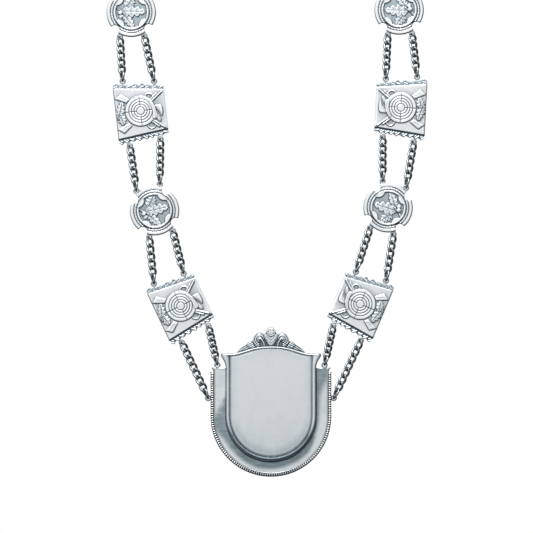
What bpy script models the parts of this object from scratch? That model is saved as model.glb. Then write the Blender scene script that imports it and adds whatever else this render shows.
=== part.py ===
"""Shooting guild chain: cast silver plaques, link strands and a pendant shield, as it is worn.

All sizes are in metres. The front hangs upright: +X is the viewer's right, -Y faces the viewer
and +Z is up. The origin is at the nape, where the middle of the back chains rests.

The chain is laid out flat first, with places given across and along it, and the flat layout is
then bent over the shoulders: it hangs straight down in front, and turns back over a rounded
shoulder line above SHOULDER_HEIGHT.
"""

import math

import bmesh
import bpy
from mathutils import Matrix, Vector

# Clearance between separate pieces that meet
SEAT_GAP = 0.0003

# Chain links: one curb link and the wire that it is bent from
LINK_LENGTH = 0.00875
LINK_WIDTH = 0.0065
LINK_WIRE = 0.00135
LINK_STEPS = 10
WIRE_SIDES = 5

# Eyelets: wire rings soldered to the plaques and the pendant
EYELET_WIRE = 0.00115
EYELET_RADIUS = 0.00195
EYELET_STEPS = 4

# Plain tube that stands for a strand of the finest chain
TUBE_WIDTH = 0.0055
TUBE_POINT_SPACING = 0.0145

# Square plaques: the outer side is longer than the inner one, so that the chain can curve
SQUARE_WIDTH = 0.0398
SQUARE_OUTER_SIDE = 0.0408
SQUARE_INNER_SIDE = 0.0318
SQUARE_EDGE = 0.0014
SQUARE_DOME = 0.0010
SQUARE_EYELET_SPACING = 0.0246
SQUARE_EYELET_REACH = 0.0060
BORDER_REACH = 0.0052
BORDER_THICKNESS = 0.0010
BORDER_LOBES = 5
TARGET_RADIUS = 0.0116
TARGET_RELIEF = 0.0013
BULL_RADIUS = 0.0033
RIFLE_LENGTH = 0.0410
RIFLE_STOCK_WIDTH = 0.0056
RIFLE_BARREL_WIDTH = 0.0026
RIFLE_SLANT = math.radians(39)
SPRAY_RELIEF = 0.0009

# Round plaques
ROUND_RADIUS = 0.0194
ROUND_EDGE = 0.0012
ROUND_NOTCH_RADIUS = 0.0148
ROUND_RIM_RADIUS = 0.0139
ROUND_RIM_WIDTH = 0.0016
ROUND_RIM_RELIEF = 0.0010
ROUND_FIELD_RISE = 0.0003
ROUND_STEPS = 12
ROUND_EYELET_SPACING = 0.0190
ROUND_EYELET_REACH = 0.0188
LEAF_RELIEF = 0.0008

# Depth of every plaque behind the plane of the chain
PLAQUE_BACK = 0.0006

# Pendant carrier: a dished plate, round below and cut straight across the top
CARRIER_WIDTH = 0.0946
CARRIER_HEIGHT = 0.0855
CARRIER_BORDER_WIDTH = 0.0026
CARRIER_BORDER_HEIGHT = 0.0026
CARRIER_BAND_WIDTH = 0.0094
CARRIER_BAND_RISE = 0.0028
CARRIER_SHEET = 0.0014
CARRIER_BACK = 0.0012
CARRIER_STEPS = 14
SIDE_EYELET_HEIGHT = 0.0617
TOP_EYELET_INSET = 0.0053

# Pendant shield: a framed blank panel with a cast crest
SHIELD_WIDTH = 0.0705
SHIELD_BOTTOM = 0.0128
SHIELD_SHOULDER_HEIGHT = 0.0954
SHIELD_TOP_RISE = 0.0068
SHIELD_EAR_REACH = 0.0036
SHIELD_EAR_HEIGHT = 0.0075
SHIELD_FRAME_WIDTH = 0.0028
SHIELD_FRAME_RELIEF = 0.0014
SHIELD_SHEET = 0.0018
SHIELD_STEPS = 7
CREST_WIDTH = 0.0400
CREST_HEIGHT = 0.0150
CREST_THICKNESS = 0.0020

# The worn form
SHOULDER_HEIGHT = 0.388
SHOULDER_RADIUS = 0.085
BACK_CHAIN_RISE = 0.080
BACK_CHAIN_PARTING = 0.012
BACK_CHAIN_SAMPLES = 96

# How far the wire of an end link stands past the middle of its eyelet, away from the plaque
END_LINK_REST = 0.0001

# The stations of each side, from the pendant up to the shoulder: station, plaque, links in the
# outer and in the inner strand below it, and then how it hangs on the left and on the right.
# How it hangs: the share of the taut spacing that the strands below it are drawn out to, the
# degrees that those strands lean outward, and the degrees that the plaque leans outward.
STATIONS = (
    ("square_1", "square", 8, 6, (0.885, 20.4, 25.4), (0.912, 20.2, 22.8)),
    ("round_1", "round", 6, 6, (0.925, 9.8, 15.6), (0.955, 13.5, 15.2)),
    ("square_2", "square", 6, 6, (0.925, 3.7, 6.4), (0.930, 4.9, 3.0)),
    ("round_2", "round", 6, 6, (0.925, 7.9, 2.0), (0.885, -2.0, -2.0)),
    ("square_3", "square", 6, 6, (0.925, -2.0, -3.0), (0.925, 2.0, -1.0)),
    ("round_3", "round", 6, 6, (0.925, -6.0, -8.0), (0.925, -4.0, -7.0)),
)

# The strands up to this station show their links, and the strands above it are plain tubes
LAST_LINKED_STATION = "round_1"

TRACKS = ("outer", "inner")
SIDES = {"left": -1, "right": 1}


def add_material(name, color, roughness):
    """A metal surface."""
    material = bpy.data.materials.new(name)
    material.use_nodes = True
    shader = material.node_tree.nodes["Principled BSDF"]
    shader.inputs["Base Color"].default_value = (*color, 1)
    shader.inputs["Metallic"].default_value = 1
    shader.inputs["Roughness"].default_value = roughness
    return material


def add_object(name, data, material, matrix):
    """Link a mesh or curve as a named piece at its place."""
    piece = bpy.data.objects.new(name, data)
    piece.data.materials.clear()
    piece.data.materials.append(material)
    bpy.context.collection.objects.link(piece)
    piece.matrix_world = matrix
    return piece


def finished_mesh(name, shape):
    """Turn a bmesh into a mesh with its faces pointing out."""
    bmesh.ops.recalc_face_normals(shape, faces=shape.faces)
    mesh = bpy.data.meshes.new(name)
    shape.to_mesh(mesh)
    shape.free()
    return mesh


def fused_mesh(name, meshes):
    """Join overlapping solids into one body with exact Boolean unions."""
    objects = [bpy.data.objects.new(f"{name}_piece", mesh) for mesh in meshes]
    for piece in objects:
        bpy.context.collection.objects.link(piece)
    body = objects[0]
    for piece in objects[1:]:
        piece.hide_render = True
        piece.display_type = "WIRE"
        union = body.modifiers.new("union", "BOOLEAN")
        union.operation = "UNION"
        union.solver = "EXACT"
        union.object = piece
    depsgraph = bpy.context.evaluated_depsgraph_get()
    fused = bpy.data.meshes.new_from_object(body.evaluated_get(depsgraph))
    fused.name = name
    for piece in objects:
        bpy.data.objects.remove(piece)
    return fused


def mirrored_mesh(name, mesh):
    """The same solid for the other side of the chain."""
    shape = bmesh.new()
    shape.from_mesh(mesh)
    shape.transform(Matrix.Scale(-1, 4, Vector((1, 0, 0))))
    bmesh.ops.reverse_faces(shape, faces=shape.faces)
    mirrored = bpy.data.meshes.new(name)
    shape.to_mesh(mirrored)
    shape.free()
    return mirrored


def prism(outline, low, high):
    """A straight solid over a flat outline."""
    return tapered_prism([(outline, low), (outline, high)])


def tapered_prism(levels):
    """A closed solid lofted through outlines of equal length, each at its own height."""
    shape = bmesh.new()
    rows = []
    for outline, height in levels:
        rows.append([shape.verts.new((x, y, height)) for x, y in outline])
    count = len(rows[0])
    for lower, upper in zip(rows, rows[1:]):
        for index in range(count):
            following = (index + 1) % count
            shape.faces.new((lower[index], lower[following], upper[following], upper[index]))
    shape.faces.new(reversed(rows[0]))
    shape.faces.new(rows[-1])
    return finished_mesh("solid", shape)


def circle(radius, steps, center=(0, 0), turn=0):
    """Corners of a regular polygon."""
    return [
        (
            center[0] + radius * math.cos(turn + math.tau * step / steps),
            center[1] + radius * math.sin(turn + math.tau * step / steps),
        )
        for step in range(steps)
    ]


def turned(outline, angle, center=(0, 0)):
    """Turn an outline about the origin and then move it."""
    cosine, sine = math.cos(angle), math.sin(angle)
    return [
        (center[0] + x * cosine - y * sine, center[1] + x * sine + y * cosine)
        for x, y in outline
    ]


def wire_solid(centers, sections):
    """A closed wire through the given centers, with two axes for each cross-section."""
    shape = bmesh.new()
    rings = []
    for center, (first, second) in zip(centers, sections):
        ring = []
        for side in range(WIRE_SIDES):
            angle = math.tau * side / WIRE_SIDES
            ring.append(shape.verts.new(center + first * math.cos(angle) + second * math.sin(angle)))
        rings.append(ring)
    for lower, upper in zip(rings, rings[1:]):
        for side in range(WIRE_SIDES):
            following = (side + 1) % WIRE_SIDES
            shape.faces.new((lower[side], lower[following], upper[following], upper[side]))
    shape.faces.new(reversed(rings[0]))
    shape.faces.new(rings[-1])
    return finished_mesh("wire", shape)


def eyelet(center, outward, leg):
    """A half ring of wire that opens outward, with two legs sunk into what carries it."""
    axis = Vector((math.cos(outward), math.sin(outward), 0))
    across = Vector((-axis.y, axis.x, 0))
    normal = Vector((0, 0, 1))
    middle = Vector((*center, 0))
    radius = EYELET_WIRE / 2
    centers = [middle - across * EYELET_RADIUS - axis * leg]
    sections = [(across * radius, normal * radius)]
    for step in range(EYELET_STEPS + 1):
        angle = -math.pi / 2 + math.pi * step / EYELET_STEPS
        spoke = axis * math.cos(angle) + across * math.sin(angle)
        centers.append(middle + spoke * EYELET_RADIUS)
        sections.append((-spoke * radius, normal * radius))
    centers.append(middle + across * EYELET_RADIUS - axis * leg)
    sections.append((-across * radius, normal * radius))
    return wire_solid(centers, sections)


def square_corners():
    """The plate's corners, counterclockwise from the lower inner one, outer side at +X."""
    half = SQUARE_WIDTH / 2
    outer = SQUARE_OUTER_SIDE / 2
    inner = SQUARE_INNER_SIDE / 2
    return [(-half, -inner), (half, -outer), (half, outer), (-half, inner)]


def square_edge_frame(end):
    """Middle, direction and outward direction of the top (end 1) or bottom (end -1) edge."""
    rise = (SQUARE_OUTER_SIDE - SQUARE_INNER_SIDE) / 2
    tilt = math.atan2(rise, SQUARE_WIDTH) * end
    middle = Vector((0, (SQUARE_OUTER_SIDE + SQUARE_INNER_SIDE) / 4 * end))
    along = Vector((math.cos(tilt), math.sin(tilt)))
    outward = Vector((-math.sin(tilt), math.cos(tilt))) * end
    return middle, along, outward


def square_eyelets():
    """Eyelet places of a right-hand square plaque, with the direction each one opens in."""
    places = {}
    for end in (-1, 1):
        middle, along, outward = square_edge_frame(end)
        for track, side in zip(TRACKS, (1, -1)):
            center = middle + along * SQUARE_EYELET_SPACING / 2 * side + outward * SQUARE_EYELET_REACH
            places[end, track] = (center, math.atan2(outward.y, outward.x))
    return places


def round_eyelets():
    """Eyelet places of a right-hand round plaque, with the direction each one opens in."""
    places = {}
    for end in (-1, 1):
        for track, side in zip(TRACKS, (1, -1)):
            center = Vector((ROUND_EYELET_SPACING / 2 * side, ROUND_EYELET_REACH * end))
            places[end, track] = (center, math.atan2(center.y, center.x))
    return places


def pendant_eyelets():
    """Eyelet places on the right of the pendant: outer on its side, inner on top of its arm."""
    side = Vector((CARRIER_WIDTH / 2 + EYELET_RADIUS, SIDE_EYELET_HEIGHT))
    top = Vector((CARRIER_WIDTH / 2 - TOP_EYELET_INSET, CARRIER_HEIGHT + EYELET_RADIUS))
    return {(1, "outer"): (side, 0), (1, "inner"): (top, math.pi / 2)}


def foliate_border(end):
    """The lobed strip that stands out past the top or the bottom edge."""
    middle, along, outward = square_edge_frame(end)
    half = SQUARE_WIDTH / 2
    base = [middle + along * half * side - outward * BORDER_THICKNESS * 2 for side in (-0.94, 0.94)]
    steps = BORDER_LOBES * 2
    crown = []
    for step in range(steps + 1):
        share = 1 - 2 * step / steps
        reach = BORDER_REACH * (0.72 if step % 2 == 0 else 1)
        crown.append(middle + along * half * share * 0.97 + outward * reach)
    return prism([*base, *crown], -PLAQUE_BACK * 0.8, BORDER_THICKNESS - PLAQUE_BACK * 0.8)


def rifle(slant):
    """A rifle in low relief, its stock outward and its barrel towards the inner corner."""
    start = RIFLE_LENGTH * 0.515
    stock = RIFLE_STOCK_WIDTH / 2
    wrist = RIFLE_STOCK_WIDTH * 0.36
    barrel = RIFLE_BARREL_WIDTH / 2
    outline = [
        (start, -stock),
        (start, stock),
        (start - RIFLE_LENGTH * 0.24, wrist),
        (start - RIFLE_LENGTH * 0.26, barrel),
        (start - RIFLE_LENGTH, barrel),
        (start - RIFLE_LENGTH, -barrel),
        (start - RIFLE_LENGTH * 0.26, -barrel),
        (start - RIFLE_LENGTH * 0.24, -wrist),
    ]
    base = SQUARE_EDGE * 0.5
    top = SQUARE_EDGE + SQUARE_DOME + SPRAY_RELIEF * (1.0 if slant > 0 else 0.8)
    return prism(turned(outline, slant), base, top)


def spray(side):
    """The leaf spray beside the target: oak leaves outward, a folded plume inward."""
    reach = SQUARE_WIDTH / 2
    height = SQUARE_INNER_SIDE / 2
    outline = [
        (reach * 0.50 * side, -height * 0.50),
        (reach * 0.80 * side, -height * 0.46),
        (reach * 0.90 * side, -height * 0.10),
        (reach * 0.84 * side, height * 0.40),
        (reach * 0.55 * side, height * 0.50),
    ]
    if side < 0:
        outline.reverse()
    return prism(outline, SQUARE_EDGE * 0.5, SQUARE_EDGE + SQUARE_DOME * 0.8 + SPRAY_RELIEF)


def square_plaque():
    """One right-hand square plaque: domed plate, lobed borders, relief and eyelets."""
    corners = square_corners()
    shoulder = [(x * 0.80, y * 0.80) for x, y in corners]
    plate = tapered_prism(
        [(corners, -PLAQUE_BACK), (corners, SQUARE_EDGE), (shoulder, SQUARE_EDGE + SQUARE_DOME)]
    )
    face = SQUARE_EDGE + SQUARE_DOME
    target = circle(TARGET_RADIUS, 12)
    bull = circle(BULL_RADIUS, 6)
    pieces = [
        plate,
        foliate_border(-1),
        foliate_border(1),
        spray(1),
        spray(-1),
        rifle(RIFLE_SLANT),
        rifle(-RIFLE_SLANT),
        prism(target, SQUARE_EDGE * 0.6, face + TARGET_RELIEF),
        prism(bull, SQUARE_EDGE * 0.8, face + TARGET_RELIEF * 1.3),
    ]
    for center, outward in square_eyelets().values():
        pieces.append(eyelet(center, outward, SQUARE_EYELET_REACH - BORDER_REACH * 0.6))
    return fused_mesh("square_plaque", pieces)


def arc_reach():
    """Half the angle of each arc of the rim, which carries both legs of an eyelet."""
    eyelet_turn = math.atan2(ROUND_EYELET_SPACING / 2, ROUND_EYELET_REACH)
    return eyelet_turn + (EYELET_RADIUS + EYELET_WIRE / 4) / ROUND_RADIUS


def notched_outline():
    """Four arcs with a notch between each two."""
    reach = arc_reach()
    diagonal = math.pi / 4
    narrow = (diagonal - reach) * 0.78
    corners = [(reach * share, ROUND_RADIUS) for share in (-1, -1 / 3, 1 / 3, 1)]
    corners += [(diagonal + narrow * share, ROUND_NOTCH_RADIUS) for share in (-1, 1)]
    outline = []
    for quarter in range(4):
        for turn, radius in corners:
            angle = math.pi / 2 * quarter + turn
            outline.append((radius * math.cos(angle), radius * math.sin(angle)))
    return outline


def oak_leaf(length, width, angle, center):
    """A lobed leaf outline with its stem end at the center given."""
    half = [(0, 0.12), (0.24, 0.66), (0.42, 0.46), (0.66, 1.0), (1.0, 0.0)]
    upper = [(length * along, width / 2 * across) for along, across in half]
    lower = [(x, -y) for x, y in reversed(upper[:-1])]
    return turned([*reversed(upper), *reversed(lower)], angle, center)


def round_plaque():
    """One right-hand round plaque: notched plate, raised rim, three oak leaves and eyelets."""
    outline = notched_outline()
    plate = prism(outline, -PLAQUE_BACK, ROUND_EDGE)
    floor = ROUND_EDGE * 0.6
    rim_top = ROUND_EDGE + ROUND_RIM_RELIEF
    rim = tapered_prism(
        [
            (circle(ROUND_RIM_RADIUS, ROUND_STEPS), floor),
            (circle(ROUND_RIM_RADIUS, ROUND_STEPS), rim_top),
            (circle(ROUND_RIM_RADIUS - ROUND_RIM_WIDTH, ROUND_STEPS), rim_top),
            (circle(ROUND_RIM_RADIUS - ROUND_RIM_WIDTH, ROUND_STEPS), ROUND_EDGE + ROUND_FIELD_RISE),
        ]
    )
    field = ROUND_RIM_RADIUS - ROUND_RIM_WIDTH
    top = ROUND_EDGE + ROUND_FIELD_RISE + LEAF_RELIEF
    stem = (field * 0.80, -field * 0.14)
    pieces = [
        plate,
        rim,
        prism(oak_leaf(field * 1.64, field * 0.72, math.radians(172), stem), floor, top),
        prism(
            oak_leaf(field * 1.02, field * 0.52, math.radians(118), (field * 0.50, 0)),
            floor,
            top * 0.92,
        ),
        prism(
            oak_leaf(field * 1.08, field * 0.46, math.radians(222), (field * 0.42, -field * 0.24)),
            floor,
            top * 0.92,
        ),
    ]
    for center, outward in round_eyelets().values():
        pieces.append(eyelet(center, outward, center.length - ROUND_RADIUS * 0.86))
    return fused_mesh("round_plaque", pieces)


def carrier_path(inset):
    """The carrier's U outline, moved in by the inset, from the top of one arm to the other."""
    radius = CARRIER_WIDTH / 2 - inset
    middle = CARRIER_WIDTH / 2
    points = [(-radius, CARRIER_HEIGHT)]
    for step in range(CARRIER_STEPS + 1):
        angle = math.pi + math.pi * step / CARRIER_STEPS
        points.append((radius * math.cos(angle), middle + radius * math.sin(angle)))
    points.append((radius, CARRIER_HEIGHT))
    return points


def carrier_mesh():
    """The dished plate: a raised border, a band that rises inward, and a flat seat."""
    band_start = CARRIER_BORDER_WIDTH * 1.15
    band_end = band_start + CARRIER_BAND_WIDTH
    low = CARRIER_SHEET
    seat = low + CARRIER_BAND_RISE
    front = [
        (0, CARRIER_BORDER_HEIGHT * 0.8),
        (CARRIER_BORDER_WIDTH * 0.25, CARRIER_BORDER_HEIGHT),
        (CARRIER_BORDER_WIDTH * 0.85, CARRIER_BORDER_HEIGHT),
        (band_start, low),
        (band_start + CARRIER_BAND_WIDTH * 0.5, low + CARRIER_BAND_RISE * 0.32),
        (band_end, seat),
    ]
    back = [(band_end, seat - CARRIER_SHEET), (band_start, 0), (0, 0)]
    shape = bmesh.new()
    rows = []
    for inset, height in front + back:
        rows.append([shape.verts.new((x, y, height - CARRIER_BACK)) for x, y in carrier_path(inset)])
    last = len(rows[0]) - 1
    seat_row = len(front) - 1
    for row, following in zip(range(len(rows)), [*range(1, len(rows)), 0]):
        if row == seat_row:
            continue
        for step in range(last):
            shape.faces.new(
                (rows[row][step], rows[row][step + 1], rows[following][step + 1], rows[following][step])
            )
    shape.faces.new(rows[seat_row])
    shape.faces.new(reversed(rows[seat_row + 1]))
    left = [row[0] for row in rows]
    right = [row[last] for row in rows]
    front_edge = [*left[: seat_row + 1], *reversed(right[: seat_row + 1])]
    back_edge = [*reversed(right[seat_row + 1 :]), *left[seat_row + 1 :]]
    shape.faces.new([*front_edge, *back_edge])
    carrier = finished_mesh("carrier", shape)
    pieces = [carrier]
    for center, outward in pendant_eyelets().values():
        for side in SIDES.values():
            place = (center.x * side, center.y)
            direction = outward if side > 0 else math.pi - outward
            pieces.append(eyelet(place, direction, EYELET_RADIUS * 1.3))
    return fused_mesh("pendant_carrier", pieces)


def shield_top(share):
    """Height of the shield's swept top edge, at a share of its half width."""
    fall = math.pi * min(share * 1.12, 1)
    return SHIELD_SHOULDER_HEIGHT + SHIELD_TOP_RISE * (0.5 + 0.5 * math.cos(fall))


def shield_path(inset):
    """The shield's outline, moved in by the inset, counterclockwise from the middle of its top."""
    half = SHIELD_WIDTH / 2 - inset
    middle = SHIELD_BOTTOM + SHIELD_WIDTH / 2
    shoulder = SHIELD_SHOULDER_HEIGHT - inset
    ear = SHIELD_EAR_REACH * (1 - inset / SHIELD_FRAME_WIDTH)
    ear_height = SHIELD_EAR_HEIGHT
    shares = [step / SHIELD_STEPS for step in range(SHIELD_STEPS)]
    side = [(half * share, shield_top(share) - inset) for share in shares]
    side.append((half + ear, shoulder))
    side.append((half + ear * 0.45, shoulder - ear_height * 0.35))
    side.append((half, shoulder - ear_height))
    for share in shares:
        angle = -math.pi / 2 * share
        side.append((half * math.cos(angle), middle + half * math.sin(angle)))
    bottom = [(0, middle - half)]
    mirrored = [(-x, y) for x, y in reversed(side[1:])]
    return [*reversed([*side, *bottom, *mirrored])]


def crest_outline():
    """The crest on the shield's top: palmette, side fans and trailing leaves, over a curved foot."""
    half = CREST_WIDTH / 2
    sink = SHIELD_FRAME_WIDTH * 0.5
    upper = [
        (0.0, 1.0),
        (0.18, 0.97),
        (0.29, 0.76),
        (0.50, 0.75),
        (0.68, 0.60),
        (0.72, 0.36),
        (0.92, 0.22),
        (1.25, 0.04),
    ]
    right = []
    for across, up in upper:
        foot = shield_top(half * across / (SHIELD_WIDTH / 2))
        crown = SHIELD_SHOULDER_HEIGHT + SHIELD_TOP_RISE + CREST_HEIGHT
        right.append((half * across, foot + (crown - foot) * up))
    lower = []
    for across in (1.1, 0.7, 0.3):
        lower.append((half * across, shield_top(half * across / (SHIELD_WIDTH / 2)) - sink))
    around = [*right, *lower]
    return [*around, *[(-x, y) for x, y in reversed(around[1:])]]


def shield_mesh():
    """The framed blank panel with its crest."""
    back = CARRIER_SHEET + CARRIER_BAND_RISE - CARRIER_BACK + SEAT_GAP
    face = back + SHIELD_SHEET
    ridge = face + SHIELD_FRAME_RELIEF
    levels = [
        (shield_path(0), back),
        (shield_path(0), face),
        (shield_path(SHIELD_FRAME_WIDTH * 0.3), ridge),
        (shield_path(SHIELD_FRAME_WIDTH * 0.6), ridge),
        (shield_path(SHIELD_FRAME_WIDTH), face),
    ]
    foot = back + SHIELD_SHEET * 0.2
    crest = prism(crest_outline(), foot, foot + CREST_THICKNESS)
    top = SHIELD_SHOULDER_HEIGHT + SHIELD_TOP_RISE + CREST_HEIGHT
    medallion = circle(CREST_WIDTH * 0.12, 8, (0, top - CREST_WIDTH * 0.15))
    boss = prism(medallion, face - SHIELD_SHEET * 0.4, ridge)
    return fused_mesh("pendant_shield", [tapered_prism(levels), crest, boss])


def bent(across, along, outward=0.0):
    """The place of a point of the flat layout on the worn form."""
    angle = max(0.0, (along - SHOULDER_HEIGHT) / SHOULDER_RADIUS)
    radius = SHOULDER_RADIUS + outward
    height = min(along, SHOULDER_HEIGHT)
    return Vector((across, -radius * math.cos(angle), height + radius * math.sin(angle)))


def facing(along):
    """The outward direction of the worn form at a height of the flat layout."""
    angle = max(0.0, (along - SHOULDER_HEIGHT) / SHOULDER_RADIUS)
    return Vector((0, -math.cos(angle), math.sin(angle)))


def hung_matrix(across, along, lean, side):
    """Matrix of a plaque: X across, Y up the chain and Z outward, leaning outward by the angle."""
    normal = facing(along)
    sideways = Vector((1, 0, 0))
    upward = normal.cross(sideways)
    axis = upward * math.cos(lean) + sideways * math.sin(lean) * side
    right = axis.cross(normal)
    matrix = Matrix((right, axis, normal)).transposed().to_4x4()
    matrix.translation = bent(across, along)
    return matrix


def strand_length(links, ease):
    """Distance between two eyelets for a strand of so many links, drawn out to a share."""
    taut = LINK_LENGTH - 2 * LINK_WIRE
    return (links - 1) * taut * ease + LINK_LENGTH - LINK_WIRE + 2 * END_LINK_REST


def side_layout(side_name):
    """Walk up one side from the pendant, and return each station's matrix and eyelets."""
    side = SIDES[side_name]
    eyelets_of = {"square": square_eyelets(), "round": round_eyelets()}
    pendant = pendant_eyelets()
    below = {track: pendant[1, track][0] for track in TRACKS}
    here = (below["outer"] + below["inner"]) / 2
    layout = []
    for name, kind, outer_links, inner_links, on_left, on_right in STATIONS:
        ease, heading, lean = on_left if side < 0 else on_right
        heading, lean = math.radians(heading), math.radians(lean)
        gap = strand_length((outer_links + inner_links) / 2, ease)
        here = here + Vector((math.sin(heading), math.cos(heading))) * gap
        places = eyelets_of[kind]
        foot = (places[-1, "outer"][0] + places[-1, "inner"][0]) / 2
        head = (places[1, "outer"][0] + places[1, "inner"][0]) / 2
        across = Vector((math.cos(lean), -math.sin(lean)))
        axis = Vector((math.sin(lean), math.cos(lean)))
        center = here - across * foot.x - axis * foot.y
        here = center + across * head.x + axis * head.y
        matrix = hung_matrix(center.x * side, center.y, lean, side)
        layout.append((name, kind, matrix, {"outer": outer_links, "inner": inner_links}))
    return layout


def eyelet_spots(kind, matrix, side):
    """World places of a plaque's eyelets, and the plaque's outward direction."""
    places = square_eyelets() if kind == "square" else round_eyelets()
    spots = {}
    for key, (center, _) in places.items():
        spots[key] = matrix @ Vector((center.x * side, center.y, 0))
    return spots, matrix.col[2].xyz


def pendant_spots(side):
    """World places of the pendant's eyelets on one side."""
    matrix = hung_matrix(0, 0, 0, 1)
    spots = {}
    for key, (center, _) in pendant_eyelets().items():
        spots[key] = matrix @ Vector((center.x * side, center.y, 0))
    return spots, matrix.col[2].xyz


class Route:
    """A strand's way between two eyelets, from its start as the origin, and its outward side."""

    def __init__(self, points, normals):
        self.start = Matrix.Translation(points[0])
        self.points = [point - points[0] for point in points]
        self.normals = normals
        self.distances = [0.0]
        for first, second in zip(points, points[1:]):
            self.distances.append(self.distances[-1] + (second - first).length)
        self.length = self.distances[-1]

    def at(self, distance):
        """Place, direction, outward direction and sideways direction at a distance."""
        index = 0
        while index < len(self.points) - 2 and self.distances[index + 1] < distance:
            index += 1
        span = self.distances[index + 1] - self.distances[index]
        share = (distance - self.distances[index]) / span
        place = self.points[index].lerp(self.points[index + 1], share)
        direction = (self.points[index + 1] - self.points[index]).normalized()
        normal = self.normals[index].lerp(self.normals[index + 1], share)
        normal = (normal - direction * normal.dot(direction)).normalized()
        return place, direction, normal, direction.cross(normal)


def short_route(start, end, start_normal, end_normal):
    """A straight way between two plaques."""
    return Route([start, end], [start_normal, end_normal])


def back_route(start, end, rise):
    """A way over the nape in one arch, from the left shoulder to the right one."""
    points, normals = [], []
    for step in range(BACK_CHAIN_SAMPLES + 1):
        angle = math.pi * step / BACK_CHAIN_SAMPLES
        share = 0.5 - 0.5 * math.cos(angle)
        across = start.x + (end.x - start.x) * share
        along = start.y + (end.y - start.y) * share + rise * math.sin(angle)
        points.append(bent(across, along))
        normals.append(facing(along))
    return Route(points, normals)


def flat_place(spot):
    """Where a world point near the shoulder lies in the flat layout, across and along."""
    angle = math.atan2(spot.z - SHOULDER_HEIGHT, -spot.y)
    return Vector((spot.x, SHOULDER_HEIGHT + angle * SHOULDER_RADIUS))


def link_angles(index, count):
    """The twist of a link's width at its two ends, from the sideways direction."""
    quarter = math.pi / 4
    edge_on = math.pi / 2
    past_eyelet = math.radians(62)
    first = edge_on if index == 0 else -quarter
    last = past_eyelet if index == count - 1 else quarter
    return first, last


def linked_mesh(name, route, count):
    """A strand of interlocked links, each fused to the next where their end wires meet."""
    half_length = (LINK_LENGTH - LINK_WIRE) / 2 / math.cos(math.pi / LINK_STEPS)
    half_width = (LINK_WIDTH - LINK_WIRE) / 2
    reach = (LINK_LENGTH - LINK_WIRE) / 2 + END_LINK_REST
    pitch = (route.length - 2 * reach) / (count - 1)
    shape = bmesh.new()
    end_face = None
    for index in range(count):
        middle = reach + pitch * index
        first, last = link_angles(index, count)
        rings = link_rings(shape, route, middle, half_length, half_width, first, last)
        start_face = end_quad(rings, LINK_STEPS // 2 - 1)
        if end_face is not None:
            bridge(shape, end_face, start_face)
        end_face = end_quad(rings, LINK_STEPS - 1)
        skipped = set()
        if index > 0:
            skipped.add(LINK_STEPS // 2 - 1)
        if index < count - 1:
            skipped.add(LINK_STEPS - 1)
        skin_link(shape, rings, skipped)
    return finished_mesh(name, shape)


def link_rings(shape, route, middle, half_length, half_width, first, last):
    """The cross-sections of one twisted oval link."""
    radius = LINK_WIRE / 2 * math.sqrt(math.tau / (WIRE_SIDES * math.sin(math.tau / WIRE_SIDES)))
    rings = []
    for step in range(LINK_STEPS):
        turn = math.tau * (step + 0.5) / LINK_STEPS
        along = half_length * math.cos(turn)
        width = half_width * math.sin(turn)
        share = 0.5 + 0.5 * math.cos(turn)
        twist = first + (last - first) * share
        place, direction, normal, sideways = route.at(middle + along)
        spread = sideways * math.cos(twist) + normal * math.sin(twist)
        across = sideways * -math.sin(twist) + normal * math.cos(twist)
        center = place + spread * width
        inward = -(direction * half_width * math.cos(turn) + spread * half_length * math.sin(turn))
        inward.normalize()
        ring = []
        for side in range(WIRE_SIDES):
            angle = math.tau * (side - 0.5) / WIRE_SIDES
            offset = inward * math.cos(angle) + across * math.sin(angle)
            ring.append(shape.verts.new(center + offset * radius))
        rings.append(ring)
    return rings


def end_quad(rings, step):
    """The four corners of the inward face on the segment that starts at a step."""
    following = rings[(step + 1) % LINK_STEPS]
    return [rings[step][0], rings[step][1], following[1], following[0]]


def skin_link(shape, rings, skipped):
    """Faces of a link, without the inward face of the skipped segments."""
    for step in range(LINK_STEPS):
        following = rings[(step + 1) % LINK_STEPS]
        for side in range(WIRE_SIDES):
            if side == 0 and step in skipped:
                continue
            other = (side + 1) % WIRE_SIDES
            shape.faces.new((rings[step][side], rings[step][other], following[other], following[side]))


def bridge(shape, end_face, start_face):
    """Walls between the facing inward faces of two links, each corner to the nearest one."""
    partners = [min(start_face, key=lambda vert: (vert.co - corner.co).length) for corner in end_face]
    for index in range(len(end_face)):
        following = (index + 1) % len(end_face)
        shape.faces.new((end_face[index], end_face[following], partners[following], partners[index]))


def tube_curve(name, route):
    """A plain tube between two eyelets."""
    clearance = EYELET_RADIUS + EYELET_WIRE / 2 + SEAT_GAP
    start, stop = clearance, route.length - clearance
    count = max(2, round((stop - start) / TUBE_POINT_SPACING) + 1)
    curve = bpy.data.curves.new(name, "CURVE")
    curve.dimensions = "3D"
    curve.bevel_depth = TUBE_WIDTH / 2
    curve.bevel_resolution = 2
    curve.use_fill_caps = True
    spline = curve.splines.new("POLY")
    spline.points.add(count - 1)
    for index, point in enumerate(spline.points):
        place = route.at(start + (stop - start) * index / (count - 1))[0]
        point.co = (*place, 1)
    return curve


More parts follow.
